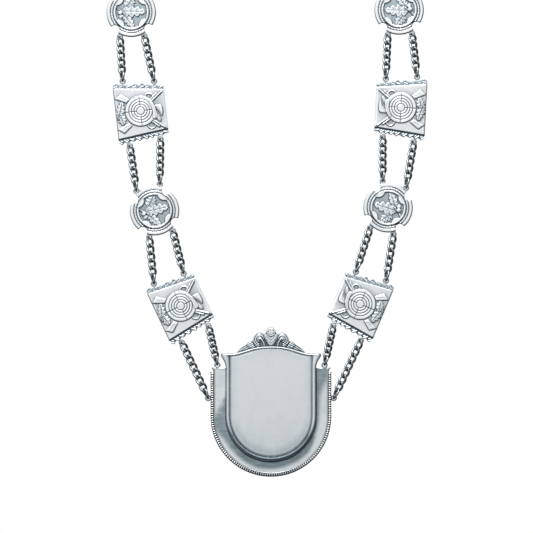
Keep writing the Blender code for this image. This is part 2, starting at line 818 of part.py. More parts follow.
def chain_pieces():
    """Every piece's name, data, material name and matrix, on the worn form."""
    right_meshes = {"square": square_plaque(), "round": round_plaque()}
    left_meshes = {kind: mirrored_mesh(f"{mesh.name}_left", mesh) for kind, mesh in right_meshes.items()}
    pieces = [
        ("pendant_carrier", carrier_mesh(), "carrier", hung_matrix(0, 0, 0, 1)),
        ("pendant_shield", shield_mesh(), "shield", hung_matrix(0, 0, 0, 1)),
    ]
    top_spots = {}
    for side_name, side in SIDES.items():
        meshes = right_meshes if side > 0 else left_meshes
        lower_name = "pendant"
        lower_spots, lower_normal = pendant_spots(side)
        linked = True
        for name, kind, matrix, links in side_layout(side_name):
            pieces.append((f"{name}_{side_name}", meshes[kind], "plaque", matrix))
            spots, normal = eyelet_spots(kind, matrix, side)
            for track in TRACKS:
                strand = f"chain_{lower_name}_{name}_{track}_{side_name}"
                route = short_route(lower_spots[1, track], spots[-1, track], lower_normal, normal)
                data = linked_mesh(strand, route, links[track]) if linked else tube_curve(strand, route)
                pieces.append((strand, data, "chain", route.start))
            if name == LAST_LINKED_STATION:
                linked = False
            lower_name, lower_spots, lower_normal = name, spots, normal
        top_spots[side_name] = lower_spots
    for track, rise in zip(TRACKS, (BACK_CHAIN_RISE, BACK_CHAIN_RISE - BACK_CHAIN_PARTING)):
        start = flat_place(top_spots["left"][1, track])
        end = flat_place(top_spots["right"][1, track])
        strand = f"back_chain_{track}"
        route = back_route(start, end, rise)
        pieces.append((strand, tube_curve(strand, route), "chain", route.start))
    return pieces


def nape():
    """The middle of the back chains on their neck side, on the plane between left and right."""
    heights = []
    for side_name, side in SIDES.items():
        _, kind, matrix, _ = side_layout(side_name)[-1]
        spots, _ = eyelet_spots(kind, matrix, side)
        heights.extend(flat_place(spots[1, track]).y for track in TRACKS)
    along = sum(heights) / len(heights) + BACK_CHAIN_RISE - BACK_CHAIN_PARTING / 2
    return bent(0, along, -TUBE_WIDTH / 2)


def main():
    for old in list(bpy.data.objects):
        bpy.data.objects.remove(old)
    materials = {
        "plaque": add_material("plaque_silver", (0.74, 0.76, 0.77), 0.34),
        "chain": add_material("chain_silver", (0.56, 0.59, 0.61), 0.30),
        "carrier": add_material("carrier_silver", (0.58, 0.62, 0.65), 0.32),
        "shield": add_material("shield_silver", (0.70, 0.72, 0.73), 0.42),
    }
    root = bpy.data.objects.new("guild_chain", None)
    bpy.context.collection.objects.link(root)
    shift = Matrix.Translation(-nape())
    for name, data, material, matrix in chain_pieces():
        piece = add_object(name, data, materials[material], shift @ matrix)
        piece.parent = root


main()
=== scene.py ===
"""Looks of the shooting guild chain: relief castings, curb chains, the pendant and the stage.

Lengths in this file are millimetres, until a finished mesh is turned into metres. A plaque's own
axes are X towards the outer side of the chain, Y up the chain and Z out of its face. The plaques
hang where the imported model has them, so the layout's sizes below are those of its source.
"""

import math

import bpy
import numpy as np
from bpy.props import FloatProperty, FloatVectorProperty, IntProperty, PointerProperty
from mathutils import Matrix, Vector


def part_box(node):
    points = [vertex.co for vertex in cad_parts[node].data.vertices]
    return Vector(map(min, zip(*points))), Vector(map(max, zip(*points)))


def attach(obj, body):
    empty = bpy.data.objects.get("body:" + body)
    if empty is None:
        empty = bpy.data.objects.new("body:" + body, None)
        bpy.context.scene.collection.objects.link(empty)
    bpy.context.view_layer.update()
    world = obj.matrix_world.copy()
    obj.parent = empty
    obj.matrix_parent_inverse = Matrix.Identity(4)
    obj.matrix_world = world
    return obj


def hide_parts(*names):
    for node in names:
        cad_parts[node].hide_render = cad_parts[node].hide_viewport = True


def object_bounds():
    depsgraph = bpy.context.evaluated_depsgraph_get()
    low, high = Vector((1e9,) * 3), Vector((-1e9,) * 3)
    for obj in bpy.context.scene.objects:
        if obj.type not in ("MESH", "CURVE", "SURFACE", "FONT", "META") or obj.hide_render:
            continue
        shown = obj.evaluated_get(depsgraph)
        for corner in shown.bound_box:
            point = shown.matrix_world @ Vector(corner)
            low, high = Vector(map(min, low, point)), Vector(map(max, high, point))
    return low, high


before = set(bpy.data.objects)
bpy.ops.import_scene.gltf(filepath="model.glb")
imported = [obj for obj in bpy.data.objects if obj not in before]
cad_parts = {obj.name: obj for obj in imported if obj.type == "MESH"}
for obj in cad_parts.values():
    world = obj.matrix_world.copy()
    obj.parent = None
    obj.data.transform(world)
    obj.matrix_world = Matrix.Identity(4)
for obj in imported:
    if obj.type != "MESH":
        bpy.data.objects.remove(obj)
cad_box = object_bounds()

bl_info = {
    "name": "Shooting guild chain",
    "version": (1, 0, 0),
    "blender": (4, 5, 0),
    "location": "3D View > Sidebar > Guild Chain",
    "description": "Builds the plaques, curb chains and pendant of a worn shooting guild chain",
    "category": "Object",
}

# Sizes that place the plaques, eyelets and strands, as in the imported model
LINK_LENGTH = 8.75
LINK_WIDTH = 6.5
LINK_WIRE = 1.35
EYELET_RADIUS = 1.95
SQUARE_WIDTH = 39.8
SQUARE_OUTER_SIDE = 40.8
SQUARE_INNER_SIDE = 31.8
SQUARE_EYELET_SPACING = 24.6
SQUARE_EYELET_REACH = 6.0
ROUND_RADIUS = 19.4
ROUND_EYELET_SPACING = 19.0
ROUND_EYELET_REACH = 18.8
PLAQUE_BACK = -0.6
CARRIER_WIDTH = 94.6
CARRIER_HEIGHT = 85.5
CARRIER_BACK = -1.2
CARRIER_SHEET = 1.4
CARRIER_BAND_RISE = 2.8
SIDE_EYELET_HEIGHT = 61.7
TOP_EYELET_INSET = 5.3
SHIELD_WIDTH = 70.5
SHIELD_BOTTOM = 12.8
SHIELD_SHOULDER = 96.5
SHIELD_TOP_RISE = 5.9
SHIELD_SHEET = 1.8
TUBE_WIDTH = 5.5
SHOULDER_HEIGHT = 388.0
SHOULDER_RADIUS = 85.0
BACK_CHAIN_RISE = 80.0
BACK_CHAIN_PARTING = 12.0
END_LINK_REST = 0.1

# Station, plaque, links in the outer and the inner strand below it, then how it hangs on the
# left and on the right: slack share, lean of the strands and lean of the plaque in degrees
STATIONS = (
    ("square_1", "square", 8, 6, (0.885, 20.4, 25.4), (0.912, 20.2, 22.8)),
    ("round_1", "round", 6, 6, (0.925, 9.8, 15.6), (0.955, 13.5, 15.2)),
    ("square_2", "square", 6, 6, (0.925, 3.7, 6.4), (0.930, 4.9, 3.0)),
    ("round_2", "round", 6, 6, (0.925, 7.9, 2.0), (0.885, -2.0, -2.0)),
    ("square_3", "square", 6, 6, (0.925, -2.0, -3.0), (0.925, 2.0, -1.0)),
    ("round_3", "round", 6, 6, (0.925, -6.0, -8.0), (0.925, -4.0, -7.0)),
)
TRACKS = ("outer", "inner")
SIDES = {"left": -1, "right": 1}
METRES = 0.001
# How far a finished piece may stand out of its plain solid's box, in metres: the upper strands'
# solids are plain tubes that end 3.8 mm short of the end links' wires
PLACE_PLAY = 0.0042
# How dark plain backs and walls are, and the rings: 0 is satin silver and 1 is oxide
PLAIN_TONE = 0.15
RING_TONE = 0.5
RING_STEPS = 22


class ChainSizes(bpy.types.PropertyGroup):
    """Sizes of the curb links and the rings."""

    link_wire: FloatProperty(
        name="Link wire", description="Thickness of a link's wire in mm", default=2.0, min=0.8
    )
    link_steps: IntProperty(
        name="Link steps", description="Cross-sections round one link", default=28, min=12
    )
    wire_sides: IntProperty(
        name="Wire sides", description="Sides of a link's wire", default=9, min=6
    )
    ring_wire: FloatProperty(
        name="Ring wire", description="Thickness of a soldered ring's wire in mm", default=1.15
    )
    back_pitch: FloatProperty(
        name="Back pitch", description="Spacing of the back chains' links in mm", default=5.85
    )


class PlaqueSizes(bpy.types.PropertyGroup):
    """Relief of the square and the round castings."""

    relief: FloatProperty(
        name="Relief", description="Share of the ornament's full height", default=1.0, min=0.2, max=1.5
    )
    square_step: FloatProperty(
        name="Square step", description="Spacing of a square casting's points in mm", default=0.25
    )
    target_ribs: IntProperty(
        name="Target ribs", description="Fine ribs round the target's outer ring", default=84
    )
    beads_per_arc: IntProperty(
        name="Beads", description="Long beads on each arc of a round plaque", default=8
    )


class PendantSizes(bpy.types.PropertyGroup):
    """Border, moulding and panel of the pendant."""

    border_width: FloatProperty(
        name="Border width", description="Width of the milled border in mm", default=2.6
    )
    bead_pitch: FloatProperty(
        name="Bead pitch", description="Spacing of the border's beads in mm", default=1.77
    )
    band_width: FloatProperty(
        name="Band width", description="Width of the dished band in mm", default=9.4
    )
    moulding_width: FloatProperty(
        name="Moulding width", description="Width of the shield's half-round frame in mm", default=3.35
    )
    moulding_height: FloatProperty(
        name="Moulding height", description="Height of the frame over the panel in mm", default=1.4
    )
    panel_dome: FloatProperty(
        name="Panel dome", description="Rise of the blank panel's middle in mm", default=0.25
    )
    ear_reach: FloatProperty(
        name="Ear reach", description="How far the frame's ears stand out in mm", default=4.05
    )


class SilverColours(bpy.types.PropertyGroup):
    """Colours of the polished and the oxidised silver."""

    # Polished is also the colour of painted highlights
    polished: FloatVectorProperty(
        name="Polished", description="Rubbed silver", subtype="COLOR", size=3,
        default=(0.92, 0.93, 0.94),
    )
    satin: FloatVectorProperty(
        name="Satin", description="Plain silver ground", subtype="COLOR", size=3,
        default=(0.77, 0.79, 0.805),
    )
    # Film is also the colour of painted shade round raised shapes and by the frame
    film: FloatVectorProperty(
        name="Film", description="Silver under a thin blue-grey film", subtype="COLOR", size=3,
        default=(0.36, 0.415, 0.455),
    )
    # Tarnish is the colour of the band's painted shade and reflections, which band_tone lays out
    tarnish: FloatVectorProperty(
        name="Tarnish", description="Blue-grey tarnish of the pendant's band", subtype="COLOR", size=3,
        default=(0.265, 0.33, 0.36),
    )
    oxide: FloatVectorProperty(
        name="Oxide", description="Silver in the hollows", subtype="COLOR", size=3,
        default=(0.050, 0.072, 0.088),
    )
    chain: FloatVectorProperty(
        name="Chain", description="Silver of the links", subtype="COLOR", size=3,
        default=(0.28, 0.305, 0.32),
    )
    panel: FloatVectorProperty(
        name="Panel", description="Silver of the blank panel", subtype="COLOR", size=3,
        default=(0.69, 0.72, 0.735),
    )


class StageSizes(bpy.types.PropertyGroup):
    """Camera, light and floor."""

    view_distance: FloatProperty(
        name="View distance", description="From the camera to the chain", default=3.0, unit="LENGTH"
    )
    view_width: FloatProperty(
        name="View width", description="Width of the picture at the chain", default=0.4179, unit="LENGTH"
    )
    floor_drop: FloatProperty(
        name="Floor drop", description="From the pendant down to the floor", default=0.15, unit="LENGTH"
    )
    floor_colour: FloatVectorProperty(
        name="Floor", description="Pale floor", subtype="COLOR", size=3, default=(0.86, 0.86, 0.86)
    )
    key_power: FloatProperty(
        name="Key light", description="Power of the large light at the upper left", default=16.0,
        unit="POWER",
    )


# Where things hang


def square_edge(end):
    """Middle, direction and outward direction of a square plaque's top (1) or bottom (-1) edge."""
    rise = (SQUARE_OUTER_SIDE - SQUARE_INNER_SIDE) / 2
    tilt = math.atan2(rise, SQUARE_WIDTH) * end
    middle = Vector((0, (SQUARE_OUTER_SIDE + SQUARE_INNER_SIDE) / 4 * end))
    along = Vector((math.cos(tilt), math.sin(tilt)))
    return middle, along, Vector((-along.y, along.x)) * end


def eyelets(kind):
    """Eyelet places of a plaque's right-hand form, by end and track."""
    places = {}
    for end in (-1, 1):
        middle, along, outward = square_edge(end)
        for track, side in zip(TRACKS, (1, -1)):
            if kind == "square":
                reach = along * SQUARE_EYELET_SPACING / 2 * side + outward * SQUARE_EYELET_REACH
                places[end, track] = middle + reach
            else:
                places[end, track] = Vector((ROUND_EYELET_SPACING / 2 * side, ROUND_EYELET_REACH * end))
    return places


def pendant_eyelets():
    """Eyelet places on the right of the pendant."""
    side = Vector((CARRIER_WIDTH / 2 + EYELET_RADIUS, SIDE_EYELET_HEIGHT))
    top = Vector((CARRIER_WIDTH / 2 - TOP_EYELET_INSET, CARRIER_HEIGHT + EYELET_RADIUS))
    return {(1, "outer"): side, (1, "inner"): top}


def bent(across, along, outward=0.0):
    """A point of the flat layout on the worn form."""
    angle = max(0.0, (along - SHOULDER_HEIGHT) / SHOULDER_RADIUS)
    radius = SHOULDER_RADIUS + outward
    height = min(along, SHOULDER_HEIGHT)
    return Vector((across, -radius * math.cos(angle), height + radius * math.sin(angle)))


def facing(along):
    """The worn form's outward direction at a height of the flat layout."""
    angle = max(0.0, (along - SHOULDER_HEIGHT) / SHOULDER_RADIUS)
    return Vector((0, -math.cos(angle), math.sin(angle)))


def hung(across, along, lean, side):
    """Matrix of a hanging piece: X across, Y up the chain, Z outward."""
    normal = facing(along)
    sideways = Vector((1, 0, 0))
    axis = normal.cross(sideways) * math.cos(lean) + sideways * math.sin(lean) * side
    matrix = Matrix((axis.cross(normal), axis, normal)).transposed().to_4x4()
    matrix.translation = bent(across, along)
    return matrix


def side_layout(side):
    """Each station of one side with its matrix, from the pendant up."""
    taut = LINK_LENGTH - 2 * LINK_WIRE
    start = pendant_eyelets()
    here = (start[1, "outer"] + start[1, "inner"]) / 2
    layout = []
    for name, kind, outer, inner, on_left, on_right in STATIONS:
        ease, heading, lean = on_left if side < 0 else on_right
        heading, lean = math.radians(heading), math.radians(lean)
        links = (outer + inner) / 2
        gap = (links - 1) * taut * ease + LINK_LENGTH - LINK_WIRE + 2 * END_LINK_REST
        here = here + Vector((math.sin(heading), math.cos(heading))) * gap
        places = eyelets(kind)
        foot = (places[-1, "outer"] + places[-1, "inner"]) / 2
        head = (places[1, "outer"] + places[1, "inner"]) / 2
        across = Vector((math.cos(lean), -math.sin(lean)))
        axis = Vector((math.sin(lean), math.cos(lean)))
        center = here - across * foot.x - axis * foot.y
        here = center + across * head.x + axis * head.y
        matrix = hung(center.x * side, center.y, lean, side)
        layout.append((name, kind, matrix, {"outer": outer, "inner": inner}))
    return layout


def hung_spots(places, matrix, side):
    """Places of a piece's eyelets on the worn form."""
    return {key: matrix @ Vector((spot.x * side, spot.y, 0)) for key, spot in places.items()}


def flat_place(spot):
    """Where a point near the shoulder lies in the flat layout."""
    angle = math.atan2(spot.z - SHOULDER_HEIGHT, -spot.y)
    return Vector((spot.x, SHOULDER_HEIGHT + angle * SHOULDER_RADIUS))


def nape():
    """The middle of the back chains on their neck side."""
    heights = []
    for side in SIDES.values():
        _, kind, matrix, _ = side_layout(side)[-1]
        spots = hung_spots(eyelets(kind), matrix, side)
        heights.extend(flat_place(spots[1, track]).y for track in TRACKS)
    along = sum(heights) / len(heights) + BACK_CHAIN_RISE - BACK_CHAIN_PARTING / 2
    return bent(0, along, -TUBE_WIDTH / 2)


TO_NAPE = Matrix.Translation(-nape())


def in_metres(matrix):
    """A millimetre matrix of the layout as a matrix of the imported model, for meshes in metres."""
    placed = TO_NAPE @ matrix
    placed.translation *= METRES
    return placed


# Meshes


class Shells:
    """Closed shells in millimetres that become one mesh.

    Each point's tone, patina and wear with painted light: below 0 rubbed bright and highlit, 0.5 under
    full film, 1 black oxide.
    """

    def __init__(self):
        self.points = []
        self.patina_and_painted_light = []
        self.faces = []
        self.edges = []
        self.count = 0

    def add(self, points, faces, patina_and_painted_light, sharp_loops=()):
        """Add one shell. Edges along the sharp loops stay crisp."""
        points = np.asarray(points, float).reshape(-1, 3)
        self.points.append(points)
        self.patina_and_painted_light.append(np.broadcast_to(np.asarray(patina_and_painted_light, float).ravel(), len(points)).copy())
        self.faces.extend(tuple(corner + self.count for corner in face) for face in faces)
        self.edges.extend(np.asarray(loop) + self.count for loop in sharp_loops)
        self.count += len(points)

    def mesh(self, name, side):
        """One mesh in metres. The left side's is mirrored."""
        points = np.concatenate(self.points) * METRES
        faces = self.faces
        if side < 0:
            points = points * (-1, 1, 1)
            faces = [face[::-1] for face in faces]
        mesh = bpy.data.meshes.new(name)
        mesh.from_pydata(points.tolist(), [], faces)
        mesh.shade_smooth()
        patina_and_painted_light = mesh.attributes.new("patina_and_painted_light", "FLOAT", "POINT")
        patina_and_painted_light.data.foreach_set("value", np.concatenate(self.patina_and_painted_light).astype(np.float32))
        if self.edges:
            self.keep_crisp(mesh)
        return mesh

    def keep_crisp(self, mesh):
        """Mark the edges that run along a sharp loop."""
        loop_of = np.zeros(len(mesh.vertices), int)
        for number, loop in enumerate(self.edges, 1):
            loop_of[loop] = number
        ends = np.zeros(len(mesh.edges) * 2, int)
        mesh.edges.foreach_get("vertices", ends)
        first, second = loop_of[ends[0::2]], loop_of[ends[1::2]]
        crisp = mesh.attributes.new("sharp_edge", "BOOLEAN", "EDGE")
        crisp.data.foreach_set("value", (first == second) & (first > 0))


def grid_quads(rows, columns, wrap_rows=False, wrap_columns=False):
    """Faces between neighbouring rows and columns of points."""
    index = np.arange(rows * columns).reshape(rows, columns)
    if wrap_rows:
        index = np.vstack([index, index[:1]])
    if wrap_columns:
        index = np.hstack([index, index[:, :1]])
    corners = (index[:-1, :-1], index[:-1, 1:], index[1:, 1:], index[1:, :-1])
    return np.stack(corners, axis=-1).reshape(-1, 4).tolist()


def relief_sheet(shells, x, y, z, back, patina_and_painted_light):
    """A casting over a grid of points: relief in front, straight walls and a flat back."""
    rows, columns = z.shape
    index = np.arange(rows * columns).reshape(rows, columns)
    rim = np.concatenate([index[0, :-1], index[:-1, -1], index[-1, :0:-1], index[:0:-1, 0]])
    points = np.stack([x, y, z], axis=-1).reshape(-1, 3)
    add_sheet(shells, points, grid_quads(rows, columns), rim, back, patina_and_painted_light.ravel())


def relief_disc(shells, x, y, z, back, patina_and_painted_light):
    """A casting over rings of points, whose first row is the innermost ring."""
    rows, columns = z.shape
    quads = np.array(grid_quads(rows, columns, wrap_columns=True))[:, ::-1].tolist()
    points = np.stack([x, y, z], axis=-1).reshape(-1, 3)
    points = np.vstack([points, points[:columns].mean(axis=0)])
    hub = rows * columns
    fan = [(hub, step, (step + 1) % columns) for step in range(columns)]
    rim = np.arange(columns) + (rows - 1) * columns
    shade = np.append(patina_and_painted_light.ravel(), patina_and_painted_light[0].mean())
    add_sheet(shells, points, quads + fan, rim, back, shade)


def add_sheet(shells, points, faces, rim, back, patina_and_painted_light):
    """Close a sheet with walls under its rim and a flat back."""
    rim = np.asarray(rim)
    below = points[rim].copy()
    below[:, 2] = back
    start = len(points)
    count = len(rim)
    low = start + np.arange(count)
    after, low_after = np.roll(rim, -1), np.roll(low, -1)
    walls = np.stack([rim, low, low_after, after], axis=-1).tolist()
    shade = np.concatenate([patina_and_painted_light, np.full(count, PLAIN_TONE)])
    faces = faces + walls + [low[::-1].tolist()]
    shells.add(np.vstack([points, below]), faces, shade, (rim, low))


# A wire's open end, in shares of its radius: how far it is domed out, and how thick it ends
END_DOME = 0.7
END_RADIUS = 0.45


def wire(shells, path, radius, patina_and_painted_light, sides=10, closed=False, flat=1.0):
    """A wire along a path, with domed ends where it is open. Flat is its height's share."""
    path = np.asarray(path, float)
    if not closed:
        first = (path[0] - path[1]) / np.linalg.norm(path[0] - path[1])
        last = (path[-1] - path[-2]) / np.linalg.norm(path[-1] - path[-2])
        dome = radius * END_DOME
        path = np.vstack([path[0] + first * dome, path, path[-1] + last * dome])
    ahead = np.roll(path, -1, axis=0) - np.roll(path, 1, axis=0)
    sizes = np.full(len(path), float(radius))
    if not closed:
        ahead[0], ahead[-1] = path[1] - path[0], path[-1] - path[-2]
        sizes[[0, -1]] = radius * END_RADIUS
    ahead /= np.linalg.norm(ahead, axis=1, keepdims=True)
    across = np.cross(ahead, (0.0, 0.0, 1.0))
    across /= np.linalg.norm(across, axis=1, keepdims=True)
    normal = np.cross(across, ahead)
    turn = -math.tau * np.arange(sides) / sides
    offset = np.cos(turn)[None, :, None] * across[:, None]
    offset = offset + flat * np.sin(turn)[None, :, None] * normal[:, None]
    points = path[:, None] + offset * sizes[:, None, None]
    faces = grid_quads(len(path), sides, wrap_rows=closed, wrap_columns=True)
    if not closed:
        end = (len(path) - 1) * sides
        faces.append(list(range(sides))[::-1])
        faces.append([end + step for step in range(sides)])
    shells.add(points, faces, patina_and_painted_light)


def solder_rings(shells, spots, ring_wire):
    """A ring round each eyelet's place."""
    turn = math.tau * np.arange(RING_STEPS) / RING_STEPS
    circle = np.stack([np.cos(turn), np.sin(turn), np.zeros(RING_STEPS)], axis=-1) * EYELET_RADIUS
    for spot in spots:
        wire(shells, circle + (spot[0], spot[1], 0.0), ring_wire / 2, RING_TONE, closed=True)


# Shapes of the relief, as distances and heights


def eased(share):
    """A smooth step from 0 to 1."""
    share = np.clip(share, 0, 1)
    return share * share * (3 - 2 * share)


def line_distance(x, y, points):
    """Distance to an open line."""
    nearest = np.full(x.shape, np.inf)
    for (x0, y0), (x1, y1) in zip(points, points[1:]):
        run, rise = x1 - x0, y1 - y0
        share = np.clip(((x - x0) * run + (y - y0) * rise) / (run * run + rise * rise), 0, 1)
        nearest = np.minimum(nearest, np.hypot(x - x0 - share * run, y - y0 - share * rise))
    return nearest


def outline_distance(x, y, corners):
    """Distance to a closed outline, negative inside it."""
    corners = np.vstack([corners, corners[:1]])
    inside = np.zeros(x.shape, bool)
    for (x0, y0), (x1, y1) in zip(corners, corners[1:]):
        if y1 != y0:
            inside ^= ((y0 > y) != (y1 > y)) & (x < (x1 - x0) * (y - y0) / (y1 - y0) + x0)
    nearest = line_distance(x, y, corners)
    return np.where(inside, -nearest, nearest)


def softened(corners, rounds, cut=0.25):
    """An outline with its corners cut off again and again."""
    corners = np.asarray(corners, float)
    for _ in range(rounds):
        after = np.roll(corners, -1, axis=0)
        pairs = [corners * (1 - cut) + after * cut, corners * cut + after * (1 - cut)]
        corners = np.stack(pairs, axis=1).reshape(-1, 2)
    return corners


def within(distance, reach, fade):
    """1 nearer than a reach and 0 past it, over a fade."""
    return eased(0.5 + (reach - distance) / fade)


def line(distance, width):
    """A soft line: 1 on it and 0 away from it."""
    return np.exp(-((distance / width) ** 2))


class Relief:
    """A casting's front as it is worked: its heights, and how dark each point is, painted shade and
    highlights included.
    """

    # Round a laid shape: how far its ring of film and painted shade fades and how dark it may make a
    # point, the dark line of oxide and painted shadow with its way out from the shape and its share
    # where that faces up, the shape's own edge, its lip of painted highlight, and how deep and how
    # dark its marks are
    FILM_AND_SHADE_FADE = 1.5
    FILM_AND_SHADE_MOST = 0.7
    LINE_WIDTH = 0.42
    LINE_OFFSET = 0.22
    LINE_LEAST = 0.42
    EDGE_WIDTH = 0.45
    LIP_INSET = 0.8
    LIP_WIDTH = 0.5
    MARK_DEPTH = 0.20
    MARK_TONE = 1.15

    def __init__(self, x, y, ground, tone=0.0):
        self.x, self.y, self.ground = x, y, ground
        self.height = ground.copy()
        self.dark = np.zeros(x.shape) + tone

    def underside(self, distance):
        """How far the nearest outline faces down: 0 at a shape's top edge and 1 at its foot."""
        x_rows, x_columns = np.gradient(self.x)
        y_rows, y_columns = np.gradient(self.y)
        rows, columns = np.gradient(distance)
        area = x_columns * y_rows - x_rows * y_columns
        slope = (rows * x_columns - columns * x_rows) / np.where(np.abs(area) < 1e-9, 1e-9, area)
        return np.clip(0.5 - 0.5 * slope, 0, 1)

    def carve(self, mark, depth=0.0, tone=1.0):
        """Cut lines into what is there and darken them."""
        mark = np.clip(mark, 0, 1)
        self.height -= depth * mark
        self.dark += (tone - self.dark) * mark

    def lay(
        self, distance, lift, crown, reach=1.2, marks=None, bright=0.6, foot=1.2, film_and_shade_halo=0.4, lip=0.0
    ):
        """Lay a raised shape over what is there.

        Crown is its further rise over its reach, bright how rubbed it is, foot the dark line
        under it, oxide with painted shadow heavier on its lower side, halo the film and painted
        shade round it, and lip the painted highlight on its lower edge.
        """
        # A ring of film and painted shade round the shape
        film = np.exp(-np.maximum(distance, 0) / self.FILM_AND_SHADE_FADE)
        self.dark += film_and_shade_halo * film * np.clip(self.FILM_AND_SHADE_MOST - self.dark, 0, 1)
        # The dark line at its foot: oxide, with painted shadow heavier on its lower side
        down = self.underside(distance)
        share = self.LINE_LEAST + (1 - self.LINE_LEAST) * down
        self.carve(foot * share * line(distance - self.LINE_OFFSET, self.LINE_WIDTH))
        over = within(distance, 0, self.EDGE_WIDTH)
        top = self.ground + lift + crown * eased(-distance / reach)
        # Rubbed tops, with a painted highlight inside the lower edge
        tone = -bright - lip * down * line(distance + self.LIP_INSET, self.LIP_WIDTH)
        if marks is not None:
            top -= self.MARK_DEPTH * marks
            tone += (bright + self.MARK_TONE) * np.clip(marks, 0, 1)
        self.height += (top - self.height) * over
        self.dark += (tone - self.dark) * over

    def line_edge(self, inside, width, least, most):
        """Darken the casting's outline with painted shade, from least at its top to most at its foot."""
        share = least + (most - least) * self.underside(-inside)
        self.carve(share * within(inside, width, 0.3))


# An oak leaf's shape: how far its lobes and veins sweep back, as a share of the way out from the
# midrib, the power that moves its widest place past the middle, how blunt it ends, the share of
# its width between lobes, and the slope that turns the way to its outline into a distance
LEAF_SWEEP = 0.30
LEAF_FORWARD = 0.8
LEAF_BLUNT = 0.55
LEAF_NOTCH = 0.50
LEAF_SLOPE = 0.85
LEAF_ENDS = (0.001, 0.999)
STEM_HALF = 0.3


def oak_leaf(x, y, stem, tip, width, lobes, bend=0.0):
    """An oak leaf: its distance, and its midrib and veins as lines."""
    stem, tip = np.array(stem, float), np.array(tip, float)
    length = np.hypot(*(tip - stem))
    ahead = (tip - stem) / length
    along = ((x - stem[0]) * ahead[0] + (y - stem[1]) * ahead[1]) / length
    across = (x - stem[0]) * -ahead[1] + (y - stem[1]) * ahead[0]
    across = np.abs(across - bend * length * np.sin(math.pi * np.clip(along, 0, 1)))
    inside = np.clip(along, *LEAF_ENDS)
    swept = np.clip(inside - LEAF_SWEEP * across / length, *LEAF_ENDS)
    swell = np.sin(math.pi * inside**LEAF_FORWARD) ** LEAF_BLUNT
    lobe = LEAF_NOTCH + (1 - LEAF_NOTCH) * np.abs(np.sin(math.pi * lobes * swept)) ** 0.9
    half = width / 2 * swell * lobe
    past = (np.maximum(along - 1, 0) + np.maximum(-along, 0)) * length
    beyond = np.hypot(past, np.maximum(across - STEM_HALF, 0))
    distance = np.where(past > 0, beyond, (across - half) * LEAF_SLOPE)
    midrib = line(across, 0.26)
    middle = np.abs(np.mod(lobes * swept, 1) - 0.5) * length / lobes
    vein = 0.6 * line(middle, 0.24) * eased((half - across) / 0.7)
    return distance, np.where(past > 0, 0, np.maximum(midrib, vein))


# Finishes

# The finishes' patches of tarnish, their flecks and their streaks: scale, and share in the tone.
# A streak's scale is a share of the scratches' own.
PATCH_SCALE, PATCH_SHARE = 110, 0.22
FLECK_SCALE, FLECK_SHARE = 900, 0.5
STREAK_SCALE = 0.45
# How much rougher the darkened parts, tarnish, patina and painted shade alike, and scratches
# make the silver, and the scratches' depth in metres
DARK_ROUGH = 0.20
SCRATCH_ROUGH = 0.16
SCRATCH_STRENGTH = 0.22
SCRATCH_DEPTH = 0.00004


